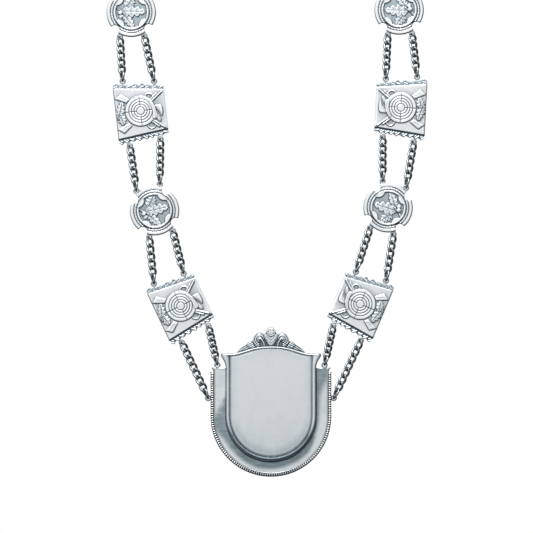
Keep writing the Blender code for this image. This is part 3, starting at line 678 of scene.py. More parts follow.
def silver(name, ground, polished, film, oxide, roughness, grain, brush=None, streaks=0.0):
    """Silver whose point tone, patina and wear with painted shade and highlights, runs from rubbed
    ridges through a film in the hollows to oxide at the deepest.
    """
    material = bpy.data.materials.new(name)
    material.use_nodes = True
    nodes, links = material.node_tree.nodes, material.node_tree.links
    shader = nodes["Principled BSDF"]
    shader.inputs["Metallic"].default_value = 1.0

    def sum_of(operation, first, second):
        node = nodes.new("ShaderNodeMath")
        node.operation = operation
        for socket, value in zip(node.inputs, (first, second)):
            if isinstance(value, (int, float)):
                socket.default_value = value
            else:
                links.new(value, socket)
        return node.outputs[0]

    def noise(scale, detail, vector):
        node = nodes.new("ShaderNodeTexNoise")
        node.inputs["Scale"].default_value = scale
        node.inputs["Detail"].default_value = detail
        links.new(vector, node.inputs["Vector"])
        return sum_of("SUBTRACT", node.outputs["Fac"], 0.5)

    def kept(value):
        node = nodes.new("ShaderNodeClamp")
        links.new(value, node.inputs["Value"])
        return node.outputs[0]

    def blend(share, first, second):
        node = nodes.new("ShaderNodeMix")
        node.data_type = "RGBA"
        links.new(share, node.inputs["Factor"])
        for socket, value in zip((node.inputs[6], node.inputs[7]), (first, second)):
            if isinstance(value, bpy.types.NodeSocket):
                links.new(value, socket)
            else:
                socket.default_value = (*value, 1)
        return node.outputs[2]

    place = nodes.new("ShaderNodeTexCoord").outputs["Object"]
    stroke = place
    if brush is not None:
        stretch = nodes.new("ShaderNodeMapping")
        stretch.inputs["Scale"].default_value = brush
        links.new(place, stretch.inputs["Vector"])
        stroke = stretch.outputs["Vector"]
    # The point tone: patina and wear, and painted shade and highlights
    worn = nodes.new("ShaderNodeAttribute")
    worn.attribute_name = "patina_and_painted_light"
    worn = worn.outputs["Fac"]
    scratch = noise(grain, 4, stroke)
    tarnish = noise(PATCH_SCALE, 3, place)
    fleck = noise(FLECK_SCALE, 2, place)

    dark = sum_of("MULTIPLY", worn, sum_of("ADD", sum_of("MULTIPLY", fleck, FLECK_SHARE), 1.0))
    dark = sum_of("ADD", dark, sum_of("MULTIPLY", tarnish, PATCH_SHARE))
    if streaks:
        strokes = sum_of("MULTIPLY", noise(grain * STREAK_SCALE, 3, stroke), streaks)
        near = sum_of("MULTIPLY", kept(worn), sum_of("SUBTRACT", 1.15, kept(worn)))
        dark = sum_of("ADD", dark, sum_of("MULTIPLY", strokes, sum_of("ADD", near, 0.07)))
    dark = kept(dark)
    # Below 0 the tone turns polished, for rubbed ridges and painted highlights; above it film, then
    # oxide, for patina and painted shade
    rubbed = blend(kept(sum_of("MULTIPLY", worn, -1.5)), ground, polished)
    filmed = blend(kept(sum_of("MULTIPLY", dark, 2.0)), rubbed, film)
    deep = kept(sum_of("SUBTRACT", sum_of("MULTIPLY", dark, 2.0), 1.0))
    links.new(blend(deep, filmed, oxide), shader.inputs["Base Color"])
    dulled = sum_of("MULTIPLY", dark, DARK_ROUGH)
    rough = sum_of("ADD", dulled, sum_of("MULTIPLY", scratch, SCRATCH_ROUGH))
    links.new(sum_of("ADD", rough, roughness), shader.inputs["Roughness"])
    bump = nodes.new("ShaderNodeBump")
    bump.inputs["Strength"].default_value = SCRATCH_STRENGTH
    bump.inputs["Distance"].default_value = SCRATCH_DEPTH
    links.new(scratch, bump.inputs["Height"])
    links.new(bump.outputs["Normal"], shader.inputs["Normal"])
    return material


def finish_of(kind):
    """The finish of a kind of piece, made once."""
    made = bpy.data.materials.get(f"{kind}_finish")
    if made:
        return made
    colours = bpy.context.scene.guild_chain_colours
    polished, film, oxide = tuple(colours.polished), tuple(colours.film), tuple(colours.oxide)
    if kind == "casting":
        return silver("casting_finish", tuple(colours.satin), polished, film, oxide, 0.30, 2600)
    if kind == "chain":
        halfway = tuple((first + last) / 2 for first, last in zip(colours.chain, oxide))
        return silver("chain_finish", tuple(colours.chain), polished, halfway, oxide, 0.20, 2200)
    if kind == "band":
        # The band's tarnish colour carries its painted shade and reflections
        satin, tarnish = tuple(colours.satin), tuple(colours.tarnish)
        black = tuple(part * 0.25 for part in oxide)
        brush = (0.10, 1.0, 1.0)
        return silver("band_finish", satin, polished, tarnish, black, 0.30, 1700, brush, 0.8)
    if kind == "panel":
        panel, brush = tuple(colours.panel), (1.0, 0.06, 1.0)
        return silver("panel_finish", panel, polished, film, oxide, 0.40, 1800, brush, 0.7)
    raise ValueError(f"no finish for {kind}")


def check_place(name, mesh, place, node):
    """Stop where a finished mesh stands out of its plain solid's box."""
    spots = np.zeros(len(mesh.vertices) * 3)
    mesh.vertices.foreach_get("co", spots)
    turn = np.array(place)
    spots = spots.reshape(-1, 3) @ turn[:3, :3].T + turn[:3, 3]
    low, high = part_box(node)
    below = spots.min(axis=0) < np.array(low) - PLACE_PLAY
    above = spots.max(axis=0) > np.array(high) + PLACE_PLAY
    if below.any() or above.any():
        raise RuntimeError(f"{name} stands out of {node}")


def place_piece(name, shells, finish, node, matrix=None, side=1):
    """Put a finished mesh on the worn form in place of its plain solid."""
    mesh, place = shells.mesh(name, side), in_metres(matrix or Matrix.Identity(4))
    check_place(name, mesh, place, node)
    piece = bpy.data.objects.new(name, mesh)
    mesh.materials.append(finish_of(finish))
    bpy.context.scene.collection.objects.link(piece)
    piece.matrix_world = place
    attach(piece, "root")
    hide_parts(node)


# The square plaques

# The die's outlines, X towards the plaque's outer side. It is turned over for the right side.
RIFLE_STOCK = ((19.1, 12.0), (14.5, 15.5), (8.0, 10.4), (10.5, 8.0))
STOCK_LINE = ((9.4, 10.3), (12.0, 10.7), (14.8, 12.4))
BARRELS = (((-8.4, 8.8), (-13.3, 12.9)), ((-9.1, 7.3), (-17.5, 13.9)))
BARREL_RADIUS = 0.68
GUARD_CENTER = (-7.6, 10.7)
GUARD_RADIUS = 3.1
GUARD_WIRE = 0.52
PLUME_FOLDS = (
    (
        (-10.8, 4.0), (-14.0, 4.2), (-16.2, 3.8), (-17.2, 2.0), (-17.3, -1.6), (-16.6, -4.6),
        (-15.6, -4.6), (-14.5, -1.4), (-12.6, 1.2), (-10.8, 2.6),
    ),
    (
        (-11.4, -1.4), (-13.2, -3.0), (-14.7, -5.6), (-15.4, -7.8), (-14.6, -9.2), (-13.3, -8.4),
        (-12.0, -6.4), (-11.2, -4.2),
    ),
    (
        (-7.2, 7.0), (-8.9, 6.8), (-10.7, 4.4), (-12.0, 0.8), (-12.7, -3.2), (-12.0, -6.2),
        (-10.2, -7.0), (-9.1, -6.0), (-9.6, -2.6), (-9.3, 1.4), (-8.1, 4.8),
    ),
)
PLUME_RIBS = (
    ((-12.0, 3.0), (-14.4, 0.8), (-16.0, -3.6)),
    ((-12.2, -2.6), (-13.6, -5.2), (-14.5, -8.2)),
    ((-8.6, 5.8), (-10.6, 2.0), (-11.2, -2.0), (-10.9, -6.0)),
)
# The sprig's two oak leaves: stem, tip, width, lobes and bend
OAK_SPRIG = (
    ((17.9, -3.0), (13.9, 9.0), 6.6, 4, 0.03),
    ((15.9, -1.4), (14.3, -9.0), 6.4, 3, 0.0),
)
SPRIG_STALK = ((19.0, 2.4), (18.8, -2.2), (17.4, -3.4))
TARGET_CENTER = (0.1, 0.6)
TARGET_GROOVES = (3.05, 5.10, 7.15, 9.25)
TARGET_EDGE = 11.85
GROOVE_WIDTH = 0.44
# The target's cross: its lines' width, and the plain middle by which its level line is wider
CROSS_WIDTH = 0.33
CROSS_MIDDLE = 0.12
PLATE_HEIGHT = 1.55
PLATE_DOME = 0.40
# How the plate falls off to its bottom, top and sides: over what width, how deep, to what power
PLATE_FALLS = ((1.1, 0.90, 1.3), (0.6, 0.35, 1.5), (1.5, 0.38, 1.0))
# The rubbed strip along both sides with its painted highlight, and the plate's lower edge and
# outer side in painted shade
RUBBED_AND_LIT_STRIP = 1.9
SHADED_FOOT = 1.05
FOOT_TONE = 0.74
SIDE_TONE = 0.62
# Painted shade on the plate round the target and by the barrels, over this width
PAINTED_SHADE_WIDTH = 4.5
PAINTED_SHADE_TONE = 0.20
BARREL_SHADE = (-14, 7)


def lay_target(relief, ribs):
    """The shooting target: a bull, four rings with grooves between them and a cross."""
    right, up = relief.x - TARGET_CENTER[0], relief.y - TARGET_CENTER[1]
    radius = np.hypot(right, up)
    grooves = sum(line(radius - at, GROOVE_WIDTH) for at in TARGET_GROOVES)
    level = np.maximum(np.abs(up) - CROSS_MIDDLE, 0)
    cross = line(np.minimum(np.abs(right), level), CROSS_WIDTH) * (radius > TARGET_GROOVES[0])
    ribbed = 0.5 + 0.5 * np.cos(np.arctan2(up, right) * ribs)
    ribbed *= 0.20 * eased((radius - TARGET_GROOVES[-1] - 0.4) / 0.4)
    marks = np.maximum(np.clip(np.maximum(grooves, cross), 0, 1), ribbed)
    relief.lay(radius - TARGET_EDGE, 0.70, 0.0, 4.0, marks, bright=0.8)
    relief.dark += 0.5 * eased((TARGET_GROOVES[0] - 0.5 - radius) / 0.5)


def lay_rifle(relief, up, k):
    """One rifle across the plate, of which the target leaves its stock, guard and barrels."""
    from_guard = np.hypot(relief.x - GUARD_CENTER[0], up - GUARD_CENTER[1]) - GUARD_RADIUS
    relief.carve(0.6 * within(from_guard, 0, 0.5), 0.05, 0.75)
    relief.lay(np.abs(from_guard) - GUARD_WIRE, 0.5 * k, 0.1, film_and_shade_halo=0.1)
    stock = outline_distance(relief.x, up, softened(RIFLE_STOCK, 1, 0.06))
    marks = 0.7 * line(line_distance(relief.x, up, STOCK_LINE), 0.27)
    relief.lay(stock, 0.55 * k, 0.12, 1.6, marks)
    for path in BARRELS:
        barrel = line_distance(relief.x, up, path) - BARREL_RADIUS
        relief.lay(barrel, 0.5 * k, 0.25, BARREL_RADIUS, bright=0.8)


def square_relief(sizes, turned):
    """The worked front of the square plate. Turned is -1 where the die is turned over."""
    columns = round(SQUARE_WIDTH / sizes.square_step) + 1
    rows = round((SQUARE_OUTER_SIDE + SQUARE_INNER_SIDE) / 2 / sizes.square_step) + 1
    across, up = np.meshgrid(np.linspace(-1, 1, columns), np.linspace(-1, 1, rows))
    x = across * SQUARE_WIDTH / 2
    flare = (SQUARE_OUTER_SIDE - SQUARE_INNER_SIDE) * across
    half = (SQUARE_OUTER_SIDE + SQUARE_INNER_SIDE + flare) / 4
    y = up * half
    from_side = SQUARE_WIDTH / 2 - np.abs(x)
    from_top, from_bottom = half - y, half + y
    ground = PLATE_HEIGHT + PLATE_DOME * (1 - across**2) * (1 - up**2)
    for inside, (width, depth, power) in zip((from_bottom, from_top, from_side), PLATE_FALLS):
        ground -= depth * (1 - np.clip(inside / width, 0, 1)) ** power
    relief = Relief(x, y, ground)
    inner = (from_bottom > 1.3) & (from_top > 0.5)
    # A rubbed strip with a painted highlight along both sides, and a groove beside it
    relief.dark -= 0.5 * (from_side < RUBBED_AND_LIT_STRIP) * inner
    relief.carve(0.35 * line(from_side - RUBBED_AND_LIT_STRIP - 0.1, 0.26) * inner, 0.08, 0.5)
    k = sizes.relief
    die = y * turned
    # Painted shade round the target, less below it, and by the barrels, and the lower field painted
    # lighter
    from_target = np.hypot(x - TARGET_CENTER[0], y - TARGET_CENTER[1]) - TARGET_EDGE
    from_barrels = np.hypot(x - BARREL_SHADE[0], die - BARREL_SHADE[1])
    shade_round_target = eased(1 - from_target / PAINTED_SHADE_WIDTH) * (1 - 0.7 * eased(0.5 - y / 8))
    relief.dark += PAINTED_SHADE_TONE * shade_round_target
    relief.dark += PAINTED_SHADE_TONE * eased(1.2 - from_barrels / PAINTED_SHADE_WIDTH) - 0.35 * eased(-(y + 5) / 8)

    for end in (1, -1):
        lay_rifle(relief, die * end, k)
    for stem, tip, width, lobes, bend in OAK_SPRIG:
        distance, veins = oak_leaf(x, die, stem, tip, width, lobes, bend)
        relief.lay(distance, 0.45 * k, 0.12, 1.0, veins, bright=0.05, foot=1.5, film_and_shade_halo=0.6, lip=0.6)
    relief.lay(line_distance(x, die, SPRIG_STALK) - 0.30, 0.35 * k, 0.1, 0.3)
    folds = list(zip(PLUME_FOLDS, PLUME_RIBS))
    for fold, rib in folds[:-1]:
        lay_fold(relief, die, fold, rib)
    lay_target(relief, sizes.target_ribs)
    lay_fold(relief, die, *folds[-1])
    # Painted shade on the plate's lower edge and outer side
    relief.dark = np.where(from_bottom < SHADED_FOOT, FOOT_TONE, relief.dark)
    shaded = np.where(x > 0, eased((1.0 - from_side) / 0.25), 0.6 * (from_side < 0.30))
    relief.carve(shaded, tone=SIDE_TONE)
    relief.carve(0.35 * line(from_top - 0.05, 0.3))
    return relief


def lay_fold(relief, die, fold, rib):
    """Lay one fold of the hat's plume."""
    distance = outline_distance(relief.x, die, softened(fold, 2))
    marks = 0.7 * line(line_distance(relief.x, die, rib), 0.28)
    relief.lay(distance, 0.75, 0.15, 1.0, marks, bright=0.7)


# The strips' forms along their run: the lower teeth's tips as place and depth, and the upper
# scrolls' middles, heights and half widths
TOOTH_TIPS = (
    (-18.4, 2.8), (-14.4, 4.2), (-10.6, 3.8), (-6.5, 4.2), (-2.3, 4.4), (3.5, 4.2), (8.6, 3.7),
    (13.2, 4.2), (18.0, 4.5),
)
TOOTH_VALLEY = 2.3
SCROLLS = (
    (-18.2, 2.2, 1.9), (-13.0, 3.6, 2.2), (-7.2, 3.5, 1.9), (-3.0, 4.6, 2.0), (2.6, 4.1, 2.2),
    (7.6, 3.0, 2.0), (13.0, 3.4, 2.2), (17.2, 4.0, 2.2),
)
STRIP_COLUMNS = 178
STRIP_ROWS = 24
STRIP_GROUND = 0.15
STRIP_LIFT = 0.1
STRIP_BACK = PLAQUE_BACK * 0.8
# How far a strip lies over its plate, and how much shorter than the plate's edge it is
STRIP_LAP = 1.2
STRIP_SHARE = 0.99


def tooth_reach(run, half):
    """How far the acanthus teeth stand out along their strip."""
    known = [(-half, TOOTH_VALLEY)]
    for (tip, depth), following in zip(TOOTH_TIPS, [*TOOTH_TIPS[1:], (half + 1.6, 0)]):
        known += [(tip, depth), (tip + (following[0] - tip) * 0.42, TOOTH_VALLEY)]
    reach = np.interp(run[0], *zip(*known))
    rounded = np.convolve(np.pad(reach, 3, mode="edge"), np.full(7, 1 / 7), "valid")
    return np.broadcast_to(rounded, run.shape)


def tooth_relief(run, out, reach):
    """The strip under a plaque: each tooth a short and a long leaf."""
    relief = Relief(run, -out, np.full(run.shape, STRIP_GROUND), 0.50)
    for tip, depth in TOOTH_TIPS:
        short = ((tip + 0.4, 0.8), (tip - 0.9, 1.9))
        long = ((tip + 2.4, 1.0), (tip, depth - 1.0))
        for leaf, radius in ((short, 0.42), (long, 0.70)):
            distance = line_distance(run, out, leaf) - radius
            relief.lay(distance, 0.22, 0.12, radius, bright=-0.2, film_and_shade_halo=0.0)
    relief.carve(line(reach - out, 0.50))
    # The painted shadow under the plate's lower edge
    relief.carve(0.8 * line(out - 0.25, 0.42))
    return relief


def scroll_reach(run):
    """How far the scrolls stand out along their strip."""
    reach = 2.9 + 0.25 * np.sin(run * 1.3)
    for at, size, width in SCROLLS:
        reach = np.maximum(reach, size * np.sqrt(np.clip(1 - ((run - at) / width) ** 2, 0, 1)))
    return reach


def scroll_relief(run, out, reach):
    """The strip over a plaque: a loop and a sprig for each scroll."""
    relief = Relief(run, out, np.full(run.shape, STRIP_GROUND), 0.44)
    for at, size, width in SCROLLS:
        loop = np.hypot(run - at, out - size + width * 0.95) - width * 0.72
        relief.lay(np.abs(loop) - 0.40, 0.16, 0.08, 0.5, bright=-0.33, foot=0.60, film_and_shade_halo=0.0)
        sprig = ((at - width * 0.2, 1.9), (at + width * 0.9, 0.75))
        distance = line_distance(run, out, sprig) - 0.45
        relief.lay(distance, 0.25, 0.1, 0.5, bright=-0.20, foot=0.60, film_and_shade_halo=0.0)
    relief.carve(0.75 * line(reach - out, 0.40), tone=0.65)
    return relief


def border_strip(shells, end, sizes):
    """The foliate strip past the top or bottom edge: scrolls above, acanthus teeth below."""
    middle, along, outward = square_edge(end)
    rise_to_side = (SQUARE_OUTER_SIDE - SQUARE_INNER_SIDE) / 4
    half = math.hypot(SQUARE_WIDTH / 2, rise_to_side) * STRIP_SHARE
    places = np.linspace(-1, 1, STRIP_COLUMNS), np.linspace(0, 1, STRIP_ROWS)
    share, rise = np.meshgrid(*places)
    run = share * half
    reach = scroll_reach(run) if end > 0 else tooth_reach(run, half)
    out = -STRIP_LAP + (reach + STRIP_LAP) * rise
    relief = (scroll_relief if end > 0 else tooth_relief)(run, out, reach)
    relief.height -= 0.30 * eased((rise - 0.93) / 0.07)
    x = middle.x + along.x * run + outward.x * out
    y = middle.y + along.y * run + outward.y * out
    z = STRIP_LIFT + relief.height * sizes.relief
    dark = relief.dark
    if end < 0:
        x, y, z, dark = x[::-1], y[::-1], z[::-1], dark[::-1]
    relief_sheet(shells, x, y, z, STRIP_BACK, dark)


def square_casting(sizes, ring_wire, side):
    """One square plaque with its borders and rings, before the left one is mirrored."""
    shells = Shells()
    relief = square_relief(sizes, -side)
    relief_sheet(shells, relief.x, relief.y, relief.height, PLAQUE_BACK, relief.dark)
    border_strip(shells, 1, sizes)
    border_strip(shells, -1, sizes)
    solder_rings(shells, eyelets("square").values(), ring_wire)
    return shells


class GUILDCHAIN_OT_square_plaques(bpy.types.Operator):
    """Build the six square plaques with target, rifles and leaves"""

    bl_idname = "guildchain.square_plaques"
    bl_label = "Square plaques"

    def execute(self, context):
        hang_castings(context.scene, square_casting, "square")
        return {"FINISHED"}


def hang_castings(scene, make, kind):
    """Hang a casting at each of its stations, mirrored on the left."""
    sizes, ring_wire = scene.guild_chain_plaques, scene.guild_chain_links.ring_wire
    for side_name, side in SIDES.items():
        casting = make(sizes, ring_wire, side)
        for name, station_kind, matrix, _ in side_layout(side):
            if station_kind == kind:
                node = f"{name}_{side_name}"
                place_piece(f"{node}_casting", casting, "casting", node, matrix, side)


# The round plaques

# Radii of the rim, and of the outline's bites and the field's lobes with their centres' way out
RIM_OUTER = 13.9
RIM_INNER = 12.2
BITE_CENTER = 18.9
BITE_RADIUS = 3.75
LOBE_CENTER = 14.9
LOBE_RADIUS = 4.85
# The die's leaves, X towards the plaque's outer side: stem, tip, width, lobes and brightness
FIELD_LEAVES = (
    ((4.0, 3.4), (-2.6, 11.7), 8.2, 4, -0.22),
    ((6.0, -1.4), (-1.6, -12.2), 6.4, 4, 0.05),
    ((7.4, 0.8), (-10.9, 0.0), 9.2, 4, -0.10),
)
FIELD_STALK = ((11.4, 4.4), (9.6, 2.2), (7.4, 1.0), (5.2, -1.6))
ACORN_NUT = (8.1, -2.9)
ACORN_CUP = (8.7, -0.3)
FIELD_TONE = 0.38
ROUND_GROUND = 0.95
# Radius where the grid's rings end and its rows turn towards the outline
RING_LIMIT = 14.2
# The grid's columns over a bite and over an arc, and half the angle between the two that meet
BITE_STEPS = 26
ARC_STEPS = 68
CORNER_GAP = 0.0012
# The arcs' row of beads and the inner edge of their ribbed shelf, as radii
BEAD_ROW = 15.3
SHELF_INNER = 16.65
SHELF_RIBS = 150
# Heights and tones of the arcs' floor, and what the beads and the shelf add and take off
ARC_HEIGHT, ARC_TONE = 0.55, 0.85
BEAD_RISE, BEAD_TONE = 0.45, 1.25
SHELF_RISE, SHELF_TONE = 0.75, 1.35


def rim_radius(turn):
    """Radius of the round plaque's outline with a bite at each diagonal, and where they meet."""
    off = np.abs(np.mod(turn, math.pi / 2) - math.pi / 4)
    squares = ROUND_RADIUS**2 + BITE_CENTER**2 - BITE_RADIUS**2
    meet = math.acos(squares / (2 * ROUND_RADIUS * BITE_CENTER))
    inside = np.clip(BITE_RADIUS**2 - (BITE_CENTER * np.sin(off)) ** 2, 0, None)
    bitten = BITE_CENTER * np.cos(off) - np.sqrt(inside)
    return np.where(off < meet, bitten, ROUND_RADIUS), meet


def round_turns(meet):
    """Directions of the grid's columns, with a pair close together at each end of an arc."""
    turns = []
    for quarter in range(4):
        diagonal = math.pi / 4 + math.pi / 2 * quarter
        stop, following = diagonal + meet, diagonal + math.pi / 2 - meet
        turns.extend(np.linspace(diagonal - meet + CORNER_GAP, stop - CORNER_GAP, BITE_STEPS))
        turns.extend(np.linspace(stop + CORNER_GAP, following - CORNER_GAP, ARC_STEPS))
    return np.array(turns)


def arc_form(turns, radius, limit, meet, beads):
    """Height and tone of the arcs past the rim: a row of long beads and a ribbed shelf."""
    off = np.mod(turns + math.pi / 4, math.pi / 2) - math.pi / 4
    reach = math.pi / 4 - meet
    dash = (0.5 + 0.5 * np.cos(off[None, :] / reach * math.pi * beads)) ** 6
    row = within(np.abs(radius - BEAD_ROW), 0.55, 0.3)
    shelf = eased(0.5 - (SHELF_INNER - radius) / 0.3)
    edge = 1 - np.clip((limit[None, :] - radius) / 0.75, 0, 1) ** 1.5
    sunk = 0.35 * eased((radius - 18.4) / 1.0)
    top = ARC_HEIGHT + row * (BEAD_RISE - 0.12 * dash) + shelf * (SHELF_RISE - sunk) - 0.45 * edge
    ribs = (0.5 + 0.5 * np.cos(turns[None, :] * SHELF_RIBS)) * eased((radius - 17.0) / 0.5)
    tone = ARC_TONE - row * (BEAD_TONE - 0.75 * dash) - shelf * SHELF_TONE + 0.16 * ribs
    return top, tone


def round_relief(sizes, turned):
    """The worked front of the round plaque. Turned is -1 where the die is turned over."""
    _, meet = rim_radius(np.zeros(1))
    turns = round_turns(meet)
    limit, _ = rim_radius(turns)
    inner = [np.linspace(0.4, RIM_INNER - 0.35, 41), np.linspace(RIM_INNER - 0.1, RING_LIMIT, 12)]
    rings = np.repeat(np.concatenate(inner)[:, None], len(turns), axis=1)
    outer = np.linspace(0, 1, 24)[1:]
    spread = RING_LIMIT + (limit[None, :] - RING_LIMIT) * outer[:, None]
    radius = np.vstack([rings, spread])
    x, y = radius * np.cos(turns), radius * np.sin(turns)
    k = sizes.relief
    on_field = radius < RIM_INNER
    stipple = 0.03 * np.sin(x * 8.3 + np.sin(y * 5.1)) * np.sin(y * 7.7 + np.sin(x * 4.7))
    ground = np.full(radius.shape, ROUND_GROUND) + stipple * on_field
    relief = Relief(x, y, ground, np.where(on_field, FIELD_TONE, 0.0))
    relief.dark += np.where(on_field, 3.0 * stipple, 0)
    bitten, corners = np.full(radius.shape, np.inf), []
    for quarter in range(4):
        turn = math.pi / 4 + math.pi / 2 * quarter
        level, steep = math.cos(turn), math.sin(turn)
        corners.append(np.hypot(x - LOBE_CENTER * level, y - LOBE_CENTER * steep) - LOBE_RADIUS)
        bite = np.hypot(x - BITE_CENTER * level, y - BITE_CENTER * steep) - BITE_RADIUS
        bitten = np.minimum(bitten, bite)
    die = y * turned
    for stem, tip, width, lobes, bright in FIELD_LEAVES:
        distance, veins = oak_leaf(x, die, stem, tip, width, lobes)
        relief.lay(distance, 0.45 * k, 0.10, 1.2, 0.9 * veins, bright=bright, film_and_shade_halo=0.55, lip=1.2)
    stalk = line_distance(x, die, FIELD_STALK) - 0.42
    relief.lay(stalk, 0.6 * k, 0.15, 0.4, bright=0.2, film_and_shade_halo=0.55)
    nut = np.hypot((x - ACORN_NUT[0]) / 0.95, (die - ACORN_NUT[1]) / 1.15) - 1.55
    relief.lay(nut, 0.6 * k, 0.2, 1.0, bright=0.9, film_and_shade_halo=0.55, lip=0.3)
    cup = np.hypot((x - ACORN_CUP[0]) / 1.15, die - ACORN_CUP[1]) - 1.5
    relief.lay(cup, 0.8 * k, 0.15, 1.0, bright=0.0, film_and_shade_halo=0.3)

    top, tone = arc_form(turns, radius, limit, meet, sizes.beads_per_arc)
    band = radius > RIM_OUTER + 0.1
    relief.height = np.where(band, top, relief.height)
    relief.dark = np.where(band, tone, relief.dark)
    # Painted shade along the plaque's outline, heaviest at its foot
    relief.line_edge(np.minimum(bitten, ROUND_RADIUS - radius), 0.50, 0.12, 1.1)
    rim = np.abs(radius - (RIM_OUTER + RIM_INNER) / 2) - (RIM_OUTER - RIM_INNER) / 2
    relief.ground = np.full(radius.shape, ROUND_GROUND)
    relief.lay(rim, 0.95, 0.15, 0.8, bright=0.8, film_and_shade_halo=0.0)
    for lobe in corners:
        lobe = np.maximum(lobe, radius - RIM_OUTER + 0.7)
        relief.lay(lobe, 0.95, 0.0, bright=0.75, film_and_shade_halo=0.5 * on_field)
    return relief


def round_casting(sizes, ring_wire, side):
    """One round plaque with its rings, before the left one is mirrored."""
    shells = Shells()
    relief = round_relief(sizes, -side)
    relief_disc(shells, relief.x, relief.y, relief.height, PLAQUE_BACK, relief.dark)
    solder_rings(shells, eyelets("round").values(), ring_wire)
    return shells


class GUILDCHAIN_OT_round_plaques(bpy.types.Operator):
    """Build the six round plaques with oak leaves inside a raised rim"""

    bl_idname = "guildchain.round_plaques"
    bl_label = "Round plaques"

    def execute(self, context):
        hang_castings(context.scene, round_casting, "round")
        return {"FINISHED"}


# The curb chains


class Route:
    """A strand's way along points, with its outward direction at each of them."""

    def __init__(self, points, normals):
        self.points = points
        self.normals = normals
        self.distances = [0.0]
        for first, second in zip(points, points[1:]):
            self.distances.append(self.distances[-1] + (second - first).length)
        self.length = self.distances[-1]

    def at(self, distance):
        """Place, direction, outward direction and sideways direction at a distance."""
        index = 0
        while index < len(self.points) - 2 and self.distances[index + 1] < distance:
            index += 1
        span = self.distances[index + 1] - self.distances[index]
        share = (distance - self.distances[index]) / span
        place = self.points[index].lerp(self.points[index + 1], share)
        direction = (self.points[index + 1] - self.points[index]).normalized()
        normal = self.normals[index].lerp(self.normals[index + 1], share)
        normal = (normal - direction * normal.dot(direction)).normalized()
        return place, direction, normal, direction.cross(normal)


# A link's twist at either end, and an end link's in the eyelet below and in the one above
LINK_TWIST = math.pi / 4
LOWER_TWIST = math.pi / 2
UPPER_TWIST = math.radians(62)
# How far a link stands clear of its neighbours' wires, along and across
CLEAR_ALONG = 0.01
CLEAR_ACROSS = 0.05
# A link's tone on its outside, and what its hollow and its two ends add
LINK_TONE = 0.10
HOLLOW_TONE = 0.75
END_TONE = 0.25
BACK_SAMPLES = 96


def curb_link(route, middle, pitch, first, last, sizes):
    """One twisted oval link round a place on its route, which just clears its neighbours' wires."""
    half_length = (pitch + sizes.link_wire) / 2 + CLEAR_ALONG
    half_width = (LINK_WIDTH - sizes.link_wire) / 2 + CLEAR_ACROSS
    points, patina_and_painted_light = [], []
    for step in range(sizes.link_steps):
        turn = math.tau * step / sizes.link_steps
        along = half_length * math.cos(turn)
        share = 0.5 + 0.5 * math.cos(turn)
        twist = first + (last - first) * share
        place, direction, normal, sideways = route.at(middle + along)
        spread = sideways * math.cos(twist) + normal * math.sin(twist)
        across = normal * math.cos(twist) - sideways * math.sin(twist)
        center = place + spread * half_width * math.sin(turn)
        inward = -(direction * half_width * math.cos(turn) + spread * half_length * math.sin(turn))
        inward.normalize()
        for side in range(sizes.wire_sides):
            angle = -math.tau * side / sizes.wire_sides
            around = inward * math.cos(angle) + across * math.sin(angle)
            points.append(center + around * sizes.link_wire / 2)
            hollow = HOLLOW_TONE * max(0.0, math.cos(angle))
            patina_and_painted_light.append(LINK_TONE + hollow + END_TONE * abs(math.cos(turn)) ** 4)
    return np.array(points), patina_and_painted_light


def strand(route, count, sizes):
    """A whole strand of links between two eyelets."""
    shells = Shells()
    reach = (LINK_LENGTH - LINK_WIRE) / 2 + END_LINK_REST
    pitch = (route.length - 2 * reach) / (count - 1)
    faces = grid_quads(sizes.link_steps, sizes.wire_sides, wrap_rows=True, wrap_columns=True)
    for index in range(count):
        first = LOWER_TWIST if index == 0 else -LINK_TWIST
        last = UPPER_TWIST if index == count - 1 else LINK_TWIST
        points, patina_and_painted_light = curb_link(route, reach + pitch * index, pitch, first, last, sizes)
        shells.add(points, faces, patina_and_painted_light)
    return shells


def back_route(start, end, rise):
    """The way of a back chain over the nape, from the left shoulder to the right one."""
    points, normals = [], []
    for step in range(BACK_SAMPLES + 1):
        angle = math.pi * step / BACK_SAMPLES
        share = 0.5 - 0.5 * math.cos(angle)
        across = start.x + (end.x - start.x) * share
        along = start.y + (end.y - start.y) * share + rise * math.sin(angle)
        points.append(bent(across, along))
        normals.append(facing(along))
    return Route(points, normals)


class GUILDCHAIN_OT_chain_strands(bpy.types.Operator):
    """Build the paired strands of curb links between the plaques"""

    bl_idname = "guildchain.chain_strands"
    bl_label = "Chain strands"

    def execute(self, context):
        sizes = context.scene.guild_chain_links
        pendant = hung(0, 0, 0, 1)
        for side_name, side in SIDES.items():
            lower, lower_spots = "pendant", hung_spots(pendant_eyelets(), pendant, side)
            lower_normal = pendant.col[2].xyz
            for name, kind, matrix, counts in side_layout(side):
                spots = hung_spots(eyelets(kind), matrix, side)
                normal = matrix.col[2].xyz
                for track in TRACKS:
                    route = Route([lower_spots[1, track], spots[-1, track]], [lower_normal, normal])
                    links = strand(route, counts[track], sizes)
                    node = f"chain_{lower}_{name}_{track}_{side_name}"
                    place_piece(f"{node}_links", links, "chain", node)
                lower, lower_spots, lower_normal = name, spots, normal
        return {"FINISHED"}


